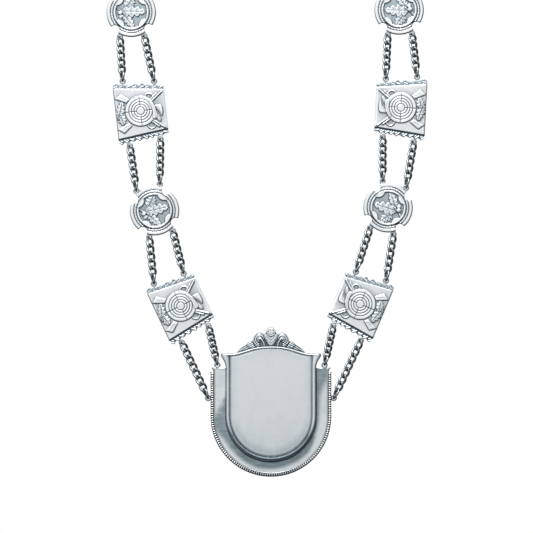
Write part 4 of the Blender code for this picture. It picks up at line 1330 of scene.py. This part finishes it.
class GUILDCHAIN_OT_back_chains(bpy.types.Operator):
    """Build the two curb chains over the nape"""

    bl_idname = "guildchain.back_chains"
    bl_label = "Back chains"

    def execute(self, context):
        sizes = context.scene.guild_chain_links
        top = {}
        for side_name, side in SIDES.items():
            _, kind, matrix, _ = side_layout(side)[-1]
            top[side_name] = hung_spots(eyelets(kind), matrix, side)
        for track, rise in zip(TRACKS, (BACK_CHAIN_RISE, BACK_CHAIN_RISE - BACK_CHAIN_PARTING)):
            ends = [flat_place(top[side_name][1, track]) for side_name in SIDES]
            route = back_route(*ends, rise)
            count = round((route.length - LINK_LENGTH) / sizes.back_pitch) + 1
            links = strand(route, count, sizes)
            node = f"back_chain_{track}"
            place_piece(f"{node}_links", links, "chain", node)
        return {"FINISHED"}


# The pendant


# Where an arm's outline has a point, in shares of the way down from its top
ARM_SHARES = (0, 0.006, 0.014, 0.024, 0.036, *np.linspace(0.06, 1, 34)[:-1])
# How deep an arm's end falls off, and over what length
ARM_FALL = 0.35
ARM_FALL_LENGTH = 1.2
# The band's cross-section: its lip, in from the border's inner edge and up from the band's floor,
# then shares of its width, over which it rises by a slope and a swell and then a step
BAND_LIP = ((-0.25, -0.3), (-0.2, 0.55), (0.12, 0.7), (0.5, 0.55), (0.62, 0.02))
BAND_SHARES = (*np.linspace(0, 0.84, 15), *np.linspace(0.87, 1, 8))
BAND_SLOPE = 0.25
BAND_SWELL = 0.60
BAND_STEP = 0.86
# The border's two walls and the channel between them: in from its outer edge and from its inner
# one, and height; then how much lower than the band it ends
BORDER_OUTER = ((0.0, CARRIER_BACK), (0.0, 0.80), (0.10, 1.15), (0.26, 1.15), (0.36, 0.35))
BORDER_INNER = ((-0.34, 0.35), (-0.26, 0.95), (-0.10, 0.95), (0.0, 0.5), (0.0, CARRIER_BACK))
BORDER_DROP = 4.2
# The border's wires at an arm's top, outward and up from it: the inner hook and the outer tip
BORDER_HOOK = ((0, -5.0), (0, -2.6), (0.5, -1.2), (1.3, -0.2))
BORDER_TIP = ((-0.6, -5.2), (-0.1, -4.4), (0.45, -3.7))
# How far from the border's ends its bars begin, and the tones round a bar, whose top is rubbed
# bright, and round both of its ends
BAR_MARGIN = 4.9
BAR_TONES = (0.8, 0.8, 0.8, 0.8, 0.8, -0.7, -0.7, -0.7)
BAR_END_TONE = 0.8
# A bar's radius as a share of the bars' spacing, how far its ends stay in from the border's edges,
# its middle's height with how much lower its ends are, and how flat it is
BAR_RADIUS = 0.31
BAR_INSET = 0.62
BAR_HEIGHT = 0.95
BAR_BOW = 0.1
BAR_FLAT = 0.7


def carrier_path(inset, drop=0.0):
    """The carrier's U outline, moved in, from the top of the left arm to the top of the right."""
    radius = CARRIER_WIDTH / 2 - inset
    middle = CARRIER_WIDTH / 2
    angles = np.linspace(math.pi, math.tau, 113)
    height = CARRIER_HEIGHT - drop - middle
    down = height * (1 - np.array(ARM_SHARES))
    arm = np.full(len(down), radius)
    x = np.concatenate([-arm, radius * np.cos(angles), arm])
    y = middle + np.concatenate([down, radius * np.sin(angles), down[::-1]])
    return x, y


def swept_rail(shells, profile, seat, drop, tones, crisp):
    """A rail of one cross-section along the carrier's outline, closed at both arm ends.

    The profile's points before the seat are its worked front. Crisp lists those that stay sharp.
    """
    rows = []
    for inset, height in profile:
        x, y = carrier_path(inset, drop)
        rows.append(np.stack([x, y, np.full(len(x), height)], axis=-1))
    points = np.stack(rows)
    from_end = CARRIER_HEIGHT - drop - points[:seat, :, 1]
    points[:seat, :, 2] -= ARM_FALL * np.clip(1 - from_end / ARM_FALL_LENGTH, 0, 1) ** 2
    count = points.shape[1]
    index = np.arange(len(rows) * count).reshape(len(rows), count)
    after = np.roll(index, -1, axis=0)
    quads = np.stack([index[:, :-1], index[:, 1:], after[:, 1:], after[:, :-1]], axis=-1)
    faces = quads.reshape(-1, 4).tolist()
    faces.append(index[:, 0].tolist())
    faces.append(index[::-1, -1].tolist())
    dark = np.full(points.shape[:2], PLAIN_TONE)
    for number, (inset, _) in enumerate(profile[:seat]):
        dark[number] = tones(inset, points[number, :, 0], points[number, :, 1])
    shells.add(points, faces, dark, (index[:, 0], index[:, -1], *(index[row] for row in crisp)))


# The band's painted shade and reflection, in its tarnish colour, by the way along the outline
# from the left arm's top: how far in from the edge it begins, and over what width it fades in
BAND_SHADOW = (
    (0, 11.7, 2.2), (18, 11.7, 2.2), (23, 10.9, 4.0), (29, 8.0, 9.0), (35, 4.2, 8.0),
    (40, 2.0, 5.5), (47, 2.0, 4.6), (53, 3.7, 6.0), (59, 6.2, 5.4), (75, 6.7, 4.8),
    (100, 5.6, 4.6), (125, 6.4, 4.6), (148, 6.4, 4.0), (158, 7.7, 3.0), (170, 9.8, 3.0),
    (190, 9.6, 4.4), (200, 8.6, 6.0), (206, 7.2, 8.0), (211, 5.2, 8.0), (216, 2.6, 7.0),
    (221, 1.2, 4.0),
)
# How dark the band's painted shade is at its fullest
FULL_BAND_SHADE = 0.5


def band_tone(inset, x, y):
    """How dark the dished band is: painted shade and reflection beside the shield, on the right arm, in
    a patch and faintly over both arms' upper part, and darkest right by the shield.
    """
    middle = CARRIER_WIDTH / 2
    arm = CARRIER_HEIGHT - middle
    turn = np.arctan2(middle - y, -x)
    straight = np.where(x < 0, CARRIER_HEIGHT - y, arm + math.pi * middle + y - middle)
    along = np.where(y > middle, straight, arm + middle * turn)
    known, begins, fades = zip(*BAND_SHADOW)
    begin, fade = np.interp(along, known, begins), np.interp(along, known, fades)
    # A faint painted shade over both arms' upper part
    pale = np.where(x < 0, 0.10, 0.09) * eased((y - 40) / 20)
    shadow = FULL_BAND_SHADE * eased(0.5 + (inset - begin) / fade)
    return np.maximum(shadow, pale) + 0.10 * eased((inset - 11.2) / 1.2)


def carrier_shells(sizes, ring_wire):
    """The dished band, its milled border and its rings."""
    shells = Shells()
    edge, width = sizes.border_width, sizes.band_width
    floor = CARRIER_SHEET + CARRIER_BACK
    top = floor + CARRIER_BAND_RISE
    start, span = edge + 0.75, width - 0.25
    profile = [(edge + way, floor + up) for way, up in BAND_LIP]
    for share in BAND_SHARES:
        step = eased((share - BAND_STEP) / (1 - BAND_STEP))
        rise = BAND_SLOPE * share + BAND_SWELL * share**2
        rise += (CARRIER_BAND_RISE - BAND_SLOPE - BAND_SWELL) * step
        profile.append((start + span * share, floor + rise))
    seat = len(profile)
    under = start + width + 0.85
    profile += [(under, top), (under, top - CARRIER_SHEET), (start + span, top - CARRIER_SHEET)]
    profile += [(start + span * 0.85, floor - 0.6), (start, CARRIER_BACK), (edge - 0.25, CARRIER_BACK)]

    def tone(inset, x, y):
        """The band's tones: its lip, its painted shade and reflection, and a line and a painted
        highlight cap at each arm's end.
        """
        if inset < edge + 0.6:
            return np.full(x.shape, 1.0 if inset < edge + 0.1 else 0.1)
        tip = 0.6 * line(CARRIER_HEIGHT - 0.9 - y, 0.45)
        # The painted highlight on each arm's rounded top
        cap = 0.4 * eased((y - CARRIER_HEIGHT + 0.5) / 0.3)
        lines = np.maximum(tip, 0.5 * line(inset - edge - 0.62, 0.2))
        return np.maximum(band_tone(inset, x, y), lines) - cap

    swept_rail(shells, profile, seat, 0.0, tone, (1, seat - 1))
    profile = [*BORDER_OUTER, *((edge + way, height) for way, height in BORDER_INNER)]

    def border(inset, x, y):
        """The border's tones: dark, and a little less so on both walls' tops over its foot."""
        if 0.05 < inset < 0.30 or edge - 0.3 < inset < edge - 0.05:
            return 0.9 + 0.3 * eased((14 - y) / 10)
        return np.full(x.shape, 1.2)

    swept_rail(shells, profile, len(profile) - 1, BORDER_DROP, border, (1, 4, 5))
    inner, outer = CARRIER_WIDTH / 2 - edge + 0.1, CARRIER_WIDTH / 2 - 0.5
    for side in SIDES.values():
        rings = [(spot.x * side, spot.y) for spot in pendant_eyelets().values()]
        solder_rings(shells, rings, ring_wire)
        for base, way, height in ((inner, BORDER_HOOK, 0.35), (outer, BORDER_TIP, 0.3)):
            bow = [((base + out) * side, CARRIER_HEIGHT + up, height) for out, up in way]
            wire(shells, bow, 0.5, 0.75)
    return shells


def bead_shells(sizes):
    """Short rounded bars across the border's channel, side by side."""
    shells = Shells()
    x, y = carrier_path(sizes.border_width / 2 - 0.05)
    distance = np.concatenate([[0], np.cumsum(np.hypot(np.diff(x), np.diff(y)))])
    sides = len(BAR_TONES)
    end = (BAR_END_TONE,) * sides
    worn = np.array((*end, *BAR_TONES * 3, *end))
    dull = np.where(worn > 0, 0.4, 1.0)
    count = round((distance[-1] - 2 * BAR_MARGIN) / sizes.bead_pitch) + 1
    for at in np.linspace(BAR_MARGIN, distance[-1] - BAR_MARGIN, count):
        here = np.array([np.interp(at, distance, x), np.interp(at, distance, y)])
        ahead = np.array([np.interp(at + 0.3, distance, known) for known in (x, y)]) - here
        across = np.array([-ahead[1], ahead[0]]) / math.hypot(*ahead)
        reach = across * (sizes.border_width / 2 - BAR_INSET)
        bar = [(*(here + reach * step), BAR_HEIGHT - BAR_BOW * abs(step)) for step in (-1, 0, 1)]
        foot = eased((14 - here[1]) / 10)
        radius = sizes.bead_pitch * BAR_RADIUS
        wire(shells, bar, radius, worn + dull * foot, sides, flat=BAR_FLAT)
    return shells


class GUILDCHAIN_OT_pendant_carrier(bpy.types.Operator):
    """Build the dished carrier with its milled border and rings"""

    bl_idname = "guildchain.pendant_carrier"
    bl_label = "Pendant carrier"

    def execute(self, context):
        sizes = context.scene.guild_chain_pendant
        matrix, node = hung(0, 0, 0, 1), "pendant_carrier"
        band = carrier_shells(sizes, context.scene.guild_chain_links.ring_wire)
        place_piece("pendant_band", band, "band", node, matrix)
        beads = bead_shells(sizes)
        place_piece("pendant_border", beads, "casting", node, matrix)
        return {"FINISHED"}


# The shield's flat back lies just clear of the band
SHIELD_BACK = CARRIER_SHEET + CARRIER_BAND_RISE + CARRIER_BACK + 0.3
# The ear's greatest way out and its whole height, as its outline below has them
EAR_OUT = 4.05
EAR_DROP = 11.4
# Outer side of the shield's ear: distance out from the frame's side, and height over its shoulder
EAR_OUTLINE = (
    (3.2, 0.05), (3.75, -0.2), (4.05, -0.8), (4.0, -1.5), (3.5, -2.6), (2.6, -4.0), (1.6, -5.7),
    (0.8, -7.6), (0.3, -9.4), (0.0, -11.4),
)
# The frame's tones: where it faces down, a painted shadow by the way in from its edge; elsewhere,
# and where it faces up with painted highlight and shade, by the share of the way over its half round
FRAME_FOOT_TONES = (
    (0, 0.40), (0.5, 0.45), (1.0, 0.75), (1.25, 0.90), (1.5, 0.70), (1.7, 0.45), (2.0, 0.75),
    (2.5, 0.95),
)
FRAME_TONES = ((0.12, 0.75), (0.44, 0.05), (0.82, 0.05), (0.92, 0.60))
FRAME_LIT_TONES = (
    (0.20, 1.00), (0.28, 0.85), (0.37, -0.45), (0.50, 0.00), (0.66, 0.15), (0.92, 0.30),
)
# From the frame to the panel: share of the frame's width, depth under the panel's edge, tone
# of film and painted shade beside the frame, and that tone where the frame faces up
PANEL_EDGE = (
    (0.94, 0.35, 0.85, 0.30), (1.01, 0.32, 0.80, 0.28), (1.09, 0.24, 0.45, 0.25),
    (1.26, 0.12, 0.28, 0.20), (1.44, 0.03, 0.16, 0.15), (1.58, 0.0, 0.10, 0.10),
)
# Shares of the way from the panel's edge to its middle
PANEL_REACHES = (0.01, 0.03, 0.06, 0.10, 0.16, 0.24, 0.34, 0.46, 0.58, 0.70, 0.82, 0.92)


def shield_top(share):
    """Height of the shield's swept top edge at a share of its half width."""
    sweep = np.cos(math.pi * np.minimum(1.08 * share**1.3, 1))
    return SHIELD_SHOULDER + SHIELD_TOP_RISE * (0.5 + 0.5 * sweep)


def shield_path(inset, sizes):
    """The shield's outline, moved in, anticlockwise from left of the middle of its top."""
    half = SHIELD_WIDTH / 2 - inset
    middle = SHIELD_BOTTOM + SHIELD_WIDTH / 2
    shrink = max(0.0, 1 - inset / sizes.moulding_width) * sizes.ear_reach / EAR_OUT
    shares = np.linspace(0, 1, 41)[:-1]
    top_x, top_y = half * shares, shield_top(shares) - inset
    out, down = np.array(EAR_OUTLINE).T
    bend = np.linspace(0, 1, 9)[:-1]
    first_x, first_y = half + out[0] * shrink, SHIELD_SHOULDER - inset + down[0] * shrink
    up_x = half * 0.98 + (first_x - half * 0.98) * bend
    up_y = SHIELD_SHOULDER - inset + (first_y - SHIELD_SHOULDER + inset) * bend
    steps, known = np.linspace(0, 1, 25), np.linspace(0, 1, len(out))
    ear_x = half + np.interp(steps, known, out) * shrink
    drops = np.interp(steps, known, down)
    ear_y = SHIELD_SHOULDER - inset * np.clip(1 + drops / EAR_DROP, 0, 1) + drops
    side_y = np.linspace(ear_y[-1], middle, 12)[1:-1]
    angles = -math.pi / 2 * np.linspace(0, 1, 49)[:-1]
    x = np.concatenate([top_x, up_x, ear_x, np.full(len(side_y), half), half * np.cos(angles)])
    y = np.concatenate([top_y, up_y, ear_y, side_y, middle + half * np.sin(angles)])
    right = np.stack([x, y], axis=-1)
    bottom = np.array([[0.0, middle - half]])
    left = right[:0:-1] * (-1, 1)
    return np.vstack([right, bottom, left])[::-1]


def facing_shares(path):
    """How far a frame's outline faces down, below its shoulder, and how far it faces up."""
    ahead = np.roll(path, -1, axis=0) - np.roll(path, 1, axis=0)
    level = ahead[:, 0] / np.hypot(*ahead.T)
    down = eased((level - 0.05) / 0.5) * (path[:, 1] < SHIELD_SHOULDER - 20)
    return down, eased((-level - 0.3) / 0.5)


def shield_shells(sizes):
    """The half-round frame and the blank panel inside it."""
    shells = Shells()
    face = SHIELD_BACK + SHIELD_SHEET
    width, height = sizes.moulding_width, sizes.moulding_height
    rows, shade = [], []

    def row(inset, z, tone, lit):
        """Add a row of points. Lit is its painted tone where it faces up; where it faces down it takes
        the foot's painted shadow tones.
        """
        path = shield_path(inset, sizes)
        down, up = facing_shares(path)
        over = path[:, 1] + inset - SHIELD_SHOULDER
        path[:, 1] += 0.5 * inset * np.clip(1 + over / 14, 0, 1)
        rows.append(np.column_stack([path, np.full(len(path), z)]))
        raised = z > SHIELD_BACK
        foot = np.interp(inset, *zip(*FRAME_FOOT_TONES))
        shadow = within(inset, 0.2 + 1.05 * down, 0.4)
        shadow *= 0.95 - 0.5 * down * max(0.0, 1 - inset / 1.1)
        tone = tone + (lit - tone) * up + (foot - tone) * down * raised * (inset < width)
        shade.append(np.maximum(tone, shadow * (down > 0) * raised))

    row(0.0, SHIELD_BACK, PLAIN_TONE, PLAIN_TONE)
    # The outer wall, in painted shade except where it faces up
    row(0.0, face - 0.6, 0.95, 0.1)
    for turn in np.linspace(0.06, 0.94, 17):
        inset = width * 0.90 * (0.5 - 0.5 * math.cos(math.pi * turn))
        rise = (height + 0.6) * math.sin(math.pi * turn) ** 0.7
        tone = np.interp(turn, *zip(*FRAME_TONES))
        lit = np.interp(turn, *zip(*FRAME_LIT_TONES))
        row(inset, face - 0.6 + rise, tone, lit)
    for share, depth, tone, lit in PANEL_EDGE:
        row(width * share, face - depth, tone, lit)
    inner = rows[-1]
    center = np.array([0.0, SHIELD_BOTTOM + SHIELD_WIDTH * 0.62])
    for share in PANEL_REACHES:
        ring = inner.copy()
        ring[:, :2] = center + (inner[:, :2] - center) * (1 - share)
        ring[:, 2] = face + sizes.panel_dome * (1 - (1 - share) ** 2)
        rows.append(ring)
        # Painted shade along the frame, heavier where it faces down, and the panel a little darker
        # towards the bottom
        edge = (0.10 + 0.20 * facing_shares(inner)[0]) * max(0.0, 1 - share / 0.16)
        shade.append(edge + 0.08 * eased((62 - ring[:, 1]) / 45))
    count = len(inner)
    faces = grid_quads(len(rows), count, wrap_columns=True)
    hub = len(rows) * count
    points = np.vstack([*rows, [[*center, face + sizes.panel_dome]]])
    last = (len(rows) - 1) * count
    faces += [(last + step, last + (step + 1) % count, hub) for step in range(count)]
    faces.append(list(range(count))[::-1])
    patina_and_painted_light = np.append(np.concatenate(shade), 0.0)
    shells.add(points, faces, patina_and_painted_light, (np.arange(count), np.arange(count) + count))
    return shells


class GUILDCHAIN_OT_pendant_shield(bpy.types.Operator):
    """Build the framed blank panel and its crest"""

    bl_idname = "guildchain.pendant_shield"
    bl_label = "Pendant shield"

    def execute(self, context):
        matrix, node = hung(0, 0, 0, 1), "pendant_shield"
        panel = shield_shells(context.scene.guild_chain_pendant)
        place_piece("pendant_panel", panel, "panel", node, matrix)
        crest = crest_shells(context.scene.guild_chain_plaques)
        place_piece("pendant_crest", crest, "casting", node, matrix)
        return {"FINISHED"}


# Crown line of the crest's right half: distance from the middle and height over its foot
CREST_CROWN = (
    (0.0, 15.7), (1.4, 15.5), (2.6, 14.8), (3.4, 13.6), (3.6, 12.2), (4.2, 11.0), (5.0, 10.3),
    (6.2, 11.0), (8.4, 11.7), (10.6, 11.3), (12.2, 10.1), (13.3, 8.5), (14.2, 6.3), (14.6, 4.6),
    (16.6, 4.6), (18.2, 3.6), (19.4, 2.2), (21.5, 0.9), (24.0, -0.9), (26.2, -3.2),
)
CREST_FOOT = 101.4
CREST_COLUMNS = 290
CREST_ROWS = 76
# Height of the crest's ground, and how far the whole relief lies over the pendant's middle plane
CREST_GROUND = 1.2
CREST_LIFT = 3.1
TAIL_LEAF = ((15.0, -3.4), (19.4, 2.0), (22.0, 0.8), (26.4, -3.4), (26.4, -4.6), (20.0, -4.6))
SIDE_LEAF = (
    (11.2, -1.8), (13.4, 2.6), (15.4, 4.7), (18.0, 3.9), (19.6, 2.0), (16.6, -1.4), (14.2, -3.2),
)
FAN_FEATHER = (
    (9.0, -0.8), (8.8, 2.6), (10.4, 5.2), (13.2, 6.2), (14.6, 4.4), (12.6, 1.6), (10.9, -1.4),
)
# The leaves from the lowest up: outline, rounds of softening, lift, crown, the way across its
# ribs and brightness
CREST_LEAVES = (
    (TAIL_LEAF, 0, 0.6, 0.1, (0.50, 0.86), 0.10),
    (SIDE_LEAF, 1, 0.8, 0.2, (0.42, 0.90), 0.10),
    (FAN_FEATHER, 1, 1.1, 0.2, (0.50, 0.87), 0.15),
)
LEAF_RIB_PITCH = 1.45
FAN_CENTER = (8.9, 6.3)
FAN_RADIUS = 5.1
CREST_CURL = ((5.2, 0.4), (5.5, 3.2), (6.8, 5.6), (8.4, 7.4), (9.4, 6.4))
PALMETTE = (
    (0.0, 0.2), (1.9, 2.0), (3.8, 4.8), (5.2, 8.0), (5.3, 9.8), (4.2, 10.6), (3.0, 9.9),
    (0.0, 11.0), (-3.0, 9.9), (-3.0, 4.0),
)
ROSETTE_HEIGHT = 12.3
ROSETTE_RADIUS = 3.45


def crest_shells(sizes):
    """The cast crest: a palmette under a rosette, ribbed fans, leaves and trailing tails."""
    shells = Shells()
    reach = CREST_CROWN[-1][0]
    places = np.linspace(-1, 1, CREST_COLUMNS), np.linspace(0, 1, CREST_ROWS)
    share, rise = np.meshgrid(*places)
    x = share * reach
    crown = np.interp(np.abs(x), *zip(*CREST_CROWN)) + CREST_FOOT
    foot = shield_top(np.abs(x) / (SHIELD_WIDTH / 2)) - 1.0
    y = foot + np.maximum(crown - foot, 0.05) * rise
    up = y - CREST_FOOT
    side = np.abs(x)
    relief = Relief(side, up, np.full(x.shape, CREST_GROUND), 0.8)
    k = sizes.relief

    def ribs(distance, pitch):
        """Lines side by side, narrower than the bands between them."""
        return (0.5 - 0.5 * np.cos(distance * math.tau / pitch)) ** 1.5

    for outline, rounds, lift, rounding, (level, steep), bright in CREST_LEAVES:
        leaf = outline_distance(side, up, softened(outline, rounds, 0.15))
        marks = ribs(side * level + up * steep, LEAF_RIB_PITCH)
        relief.lay(leaf, lift * k, rounding, marks=marks, bright=bright)
    from_fan = side - FAN_CENTER[0]
    fan = np.hypot(from_fan, (up - FAN_CENTER[1]) * 0.95)
    shell = np.maximum(fan - FAN_RADIUS, (4.6 - up - from_fan * 0.5) * 0.8)
    relief.lay(shell, 1.2 * k, 0.3, 3.0, ribs(fan - 0.2, 1.5), bright=0.2)
    relief.lay(line_distance(side, up, CREST_CURL) - 0.62, 1.5 * k, 0.2, 0.5, bright=0.4)
    palm = outline_distance(side, up, softened(PALMETTE, 1, 0.2))
    chevrons = 0.9 * line(np.mod(up - side + 0.4, 2.3) - 1.15, 0.36) * eased((-palm - 0.5) / 0.3)
    middle = 0.6 * line(side, 0.22) * (up < 8.5)
    inside = np.maximum(chevrons, np.maximum(0.8 * line(palm + 0.75, 0.22), middle))
    relief.lay(palm, 1.6 * k, 0.2, 1.0, inside, bright=0.35)
    over = up - ROSETTE_HEIGHT
    boss = np.hypot(x, over)
    petal = np.abs(np.mod(np.arctan2(over, x) * 5 / math.tau, 1) - 0.5)
    petals = 0.8 * line(petal * boss, 0.20) * (boss > 0.7) * (boss < 2.1)
    marks = np.maximum(0.9 * line(boss - 2.35, 0.26), petals)
    relief.lay(boss - ROSETTE_RADIUS, 1.9 * k, 0.1, 1.0, marks, bright=0.4)
    relief.carve(line(crown - y, 0.36))
    relief.carve(line(y - foot - 1.2, 0.5))
    relief.height -= 0.7 * (1 - eased((crown - y) / 0.7)) + 0.6 * eased((side - 20.0) / 6.0)
    front = np.maximum(relief.height + CREST_LIFT, SHIELD_BACK + 0.4)
    relief_sheet(shells, x, y, front, SHIELD_BACK, relief.dark)
    return shells


# The stage


def pale_floor(colour):
    """A pale matt floor with faint marks."""
    material = bpy.data.materials.new("floor_finish")
    material.use_nodes = True
    nodes, links = material.node_tree.nodes, material.node_tree.links
    shader = nodes["Principled BSDF"]
    shader.inputs["Roughness"].default_value = 0.8
    place = nodes.new("ShaderNodeTexCoord").outputs["Object"]
    noise = nodes.new("ShaderNodeTexNoise")
    noise.inputs["Scale"].default_value = 6.0
    links.new(place, noise.inputs["Vector"])
    mix = nodes.new("ShaderNodeMix")
    mix.data_type = "RGBA"
    mix.inputs[6].default_value = (*[part * 0.98 for part in colour], 1)
    mix.inputs[7].default_value = (*colour, 1)
    links.new(noise.outputs["Fac"], mix.inputs["Factor"])
    links.new(mix.outputs[2], shader.inputs["Base Color"])
    return material


# The studio's brightness by how far a direction turns towards the key light
STUDIO_TONES = (
    (0.00, 0.04), (0.25, 0.07), (0.46, 0.13), (0.56, 0.34), (0.64, 0.64),
    (0.775, 0.91), (0.86, 0.98), (0.93, 1.25), (1.00, 1.60),
)
# Ways to the surroundings' brightest part and to the lamp
KEY_DIRECTION = (-0.29, -0.58, 0.72)
LIGHT_DIRECTION = (-0.05, -0.60, 0.75)
# The fill behind the piece: the way to it, the turns to it between which it comes in, its level
FILL_DIRECTION = (0.0, 0.95, 0.30)
FILL_REACH = (0.45, 0.85)
FILL_LEVEL = 0.8
# The floor's radius, and the lamp's size and distance, in metres
FLOOR_RADIUS = 1.4
FLOOR_CORNERS = 96
LAMP_SIZE = 0.7
LAMP_DISTANCE = 1.5
# Where the camera looks, right and up of the pendant's foot
VIEW_MIDDLE = (-3.5, 164.8)


def studio_world():
    """White surroundings for the camera, and soft light from the upper left for the silver."""
    world = bpy.data.worlds.new("studio")
    world.use_nodes = True
    nodes, links = world.node_tree.nodes, world.node_tree.links
    nodes.clear()
    place = nodes.new("ShaderNodeTexCoord").outputs["Generated"]

    def turn_to(direction, least, most, kind):
        """How far a direction of the world turns to a light, from 0 at least to 1 at most."""
        towards = nodes.new("ShaderNodeVectorMath")
        towards.operation = "DOT_PRODUCT"
        towards.inputs[1].default_value = Vector(direction).normalized()
        links.new(place, towards.inputs[0])
        spread = nodes.new("ShaderNodeMapRange")
        spread.interpolation_type = kind
        spread.inputs["From Min"].default_value = least
        spread.inputs["From Max"].default_value = most
        links.new(towards.outputs["Value"], spread.inputs["Value"])
        return spread.outputs[0]

    tones = nodes.new("ShaderNodeValToRGB")
    ramp = tones.color_ramp
    for number, (at, level) in enumerate(STUDIO_TONES):
        stop = ramp.elements[number] if number < 2 else ramp.elements.new(at)
        stop.position = at
        cast = 1 - min(level, 1)
        stop.color = (level * (1 - 0.20 * cast), level * (1 - 0.06 * cast), level, 1)
    links.new(turn_to(KEY_DIRECTION, -1, 1, "LINEAR"), tones.inputs["Fac"])
    key = nodes.new("ShaderNodeBackground")
    links.new(tones.outputs["Color"], key.inputs["Color"])
    fill = nodes.new("ShaderNodeBackground")
    fill.inputs["Color"].default_value = (FILL_LEVEL, FILL_LEVEL, FILL_LEVEL, 1)
    links.new(turn_to(FILL_DIRECTION, *FILL_REACH, "SMOOTHSTEP"), fill.inputs["Strength"])
    lighting = nodes.new("ShaderNodeAddShader")
    links.new(key.outputs[0], lighting.inputs[0])
    links.new(fill.outputs[0], lighting.inputs[1])
    seen = nodes.new("ShaderNodeBackground")
    seen.inputs["Color"].default_value = (1, 1, 1, 1)
    ray = nodes.new("ShaderNodeLightPath")
    choice = nodes.new("ShaderNodeMixShader")
    links.new(ray.outputs["Is Camera Ray"], choice.inputs[0])
    links.new(lighting.outputs[0], choice.inputs[1])
    links.new(seen.outputs[0], choice.inputs[2])
    output = nodes.new("ShaderNodeOutputWorld")
    links.new(choice.outputs[0], output.inputs["Surface"])
    return world


class GUILDCHAIN_OT_stage(bpy.types.Operator):
    """Build the pale floor, the soft light and the camera"""

    bl_idname = "guildchain.stage"
    bl_label = "Stage"

    def execute(self, context):
        scene = context.scene
        sizes = scene.guild_chain_stage
        low, high = cad_box
        floor_mesh = bpy.data.meshes.new("floor")
        turns = math.tau * np.arange(FLOOR_CORNERS) / FLOOR_CORNERS
        corners = [(FLOOR_RADIUS * math.cos(a), FLOOR_RADIUS * math.sin(a), 0) for a in turns]
        floor_mesh.from_pydata(corners, [], [list(range(FLOOR_CORNERS))])
        floor_mesh.materials.append(pale_floor(tuple(sizes.floor_colour)))
        floor = bpy.data.objects.new("floor", floor_mesh)
        floor.location = (0, (low.y + high.y) / 2, low.z - sizes.floor_drop)
        floor.visible_glossy = False
        scene.collection.objects.link(floor)
        scene.world = studio_world()
        scene.view_settings.view_transform = "Standard"

        foot = (TO_NAPE @ hung(0, 0, 0, 1)).translation
        middle = Vector((VIEW_MIDDLE[0], foot.y, foot.z + VIEW_MIDDLE[1])) * METRES
        camera_data = bpy.data.cameras.new("camera")
        camera_data.lens = camera_data.sensor_width * sizes.view_distance / sizes.view_width
        camera_data.clip_end = 100
        camera = bpy.data.objects.new("camera", camera_data)
        camera.location = middle - Vector((0, sizes.view_distance, 0))
        camera.rotation_euler = (math.pi / 2, 0, 0)
        scene.collection.objects.link(camera)
        scene.camera = camera

        light_data = bpy.data.lights.new("key_light", "AREA")
        light_data.energy = sizes.key_power
        light_data.size = LAMP_SIZE
        light = bpy.data.objects.new("key_light", light_data)
        light.location = middle + Vector(LIGHT_DIRECTION).normalized() * LAMP_DISTANCE
        light.rotation_euler = (middle - light.location).to_track_quat("-Z", "Y").to_euler()
        scene.collection.objects.link(light)
        return {"FINISHED"}


class GUILDCHAIN_PT_pieces(bpy.types.Panel):
    """The pieces of the guild chain and their sizes"""

    bl_idname = "GUILDCHAIN_PT_pieces"
    bl_label = "Guild Chain"
    bl_space_type = "VIEW_3D"
    bl_region_type = "UI"
    bl_category = "Guild Chain"

    def draw(self, context):
        for group in SIZE_GROUPS:
            box = self.layout.box()
            values = getattr(context.scene, group)
            for name in values.__annotations__:
                box.prop(values, name)
        for operator in BUILD_ORDER:
            self.layout.operator(operator.bl_idname)


SIZE_GROUPS = {
    "guild_chain_links": ChainSizes,
    "guild_chain_plaques": PlaqueSizes,
    "guild_chain_pendant": PendantSizes,
    "guild_chain_colours": SilverColours,
    "guild_chain_stage": StageSizes,
}
BUILD_ORDER = (
    GUILDCHAIN_OT_stage,
    GUILDCHAIN_OT_square_plaques,
    GUILDCHAIN_OT_round_plaques,
    GUILDCHAIN_OT_chain_strands,
    GUILDCHAIN_OT_back_chains,
    GUILDCHAIN_OT_pendant_carrier,
    GUILDCHAIN_OT_pendant_shield,
)


def register():
    for group in SIZE_GROUPS.values():
        bpy.utils.register_class(group)
    for operator in BUILD_ORDER:
        bpy.utils.register_class(operator)
    bpy.utils.register_class(GUILDCHAIN_PT_pieces)
    for name, group in SIZE_GROUPS.items():
        setattr(bpy.types.Scene, name, PointerProperty(type=group))


def unregister():
    for name in SIZE_GROUPS:
        delattr(bpy.types.Scene, name)
    bpy.utils.unregister_class(GUILDCHAIN_PT_pieces)
    for kind in (*reversed(BUILD_ORDER), *SIZE_GROUPS.values()):
        bpy.utils.unregister_class(kind)


def main():
    register()
    bpy.ops.guildchain.stage()
    bpy.ops.guildchain.square_plaques()
    bpy.ops.guildchain.round_plaques()
    bpy.ops.guildchain.chain_strands()
    bpy.ops.guildchain.back_chains()
    bpy.ops.guildchain.pendant_carrier()
    bpy.ops.guildchain.pendant_shield()


if __name__ == "__main__":
    main()
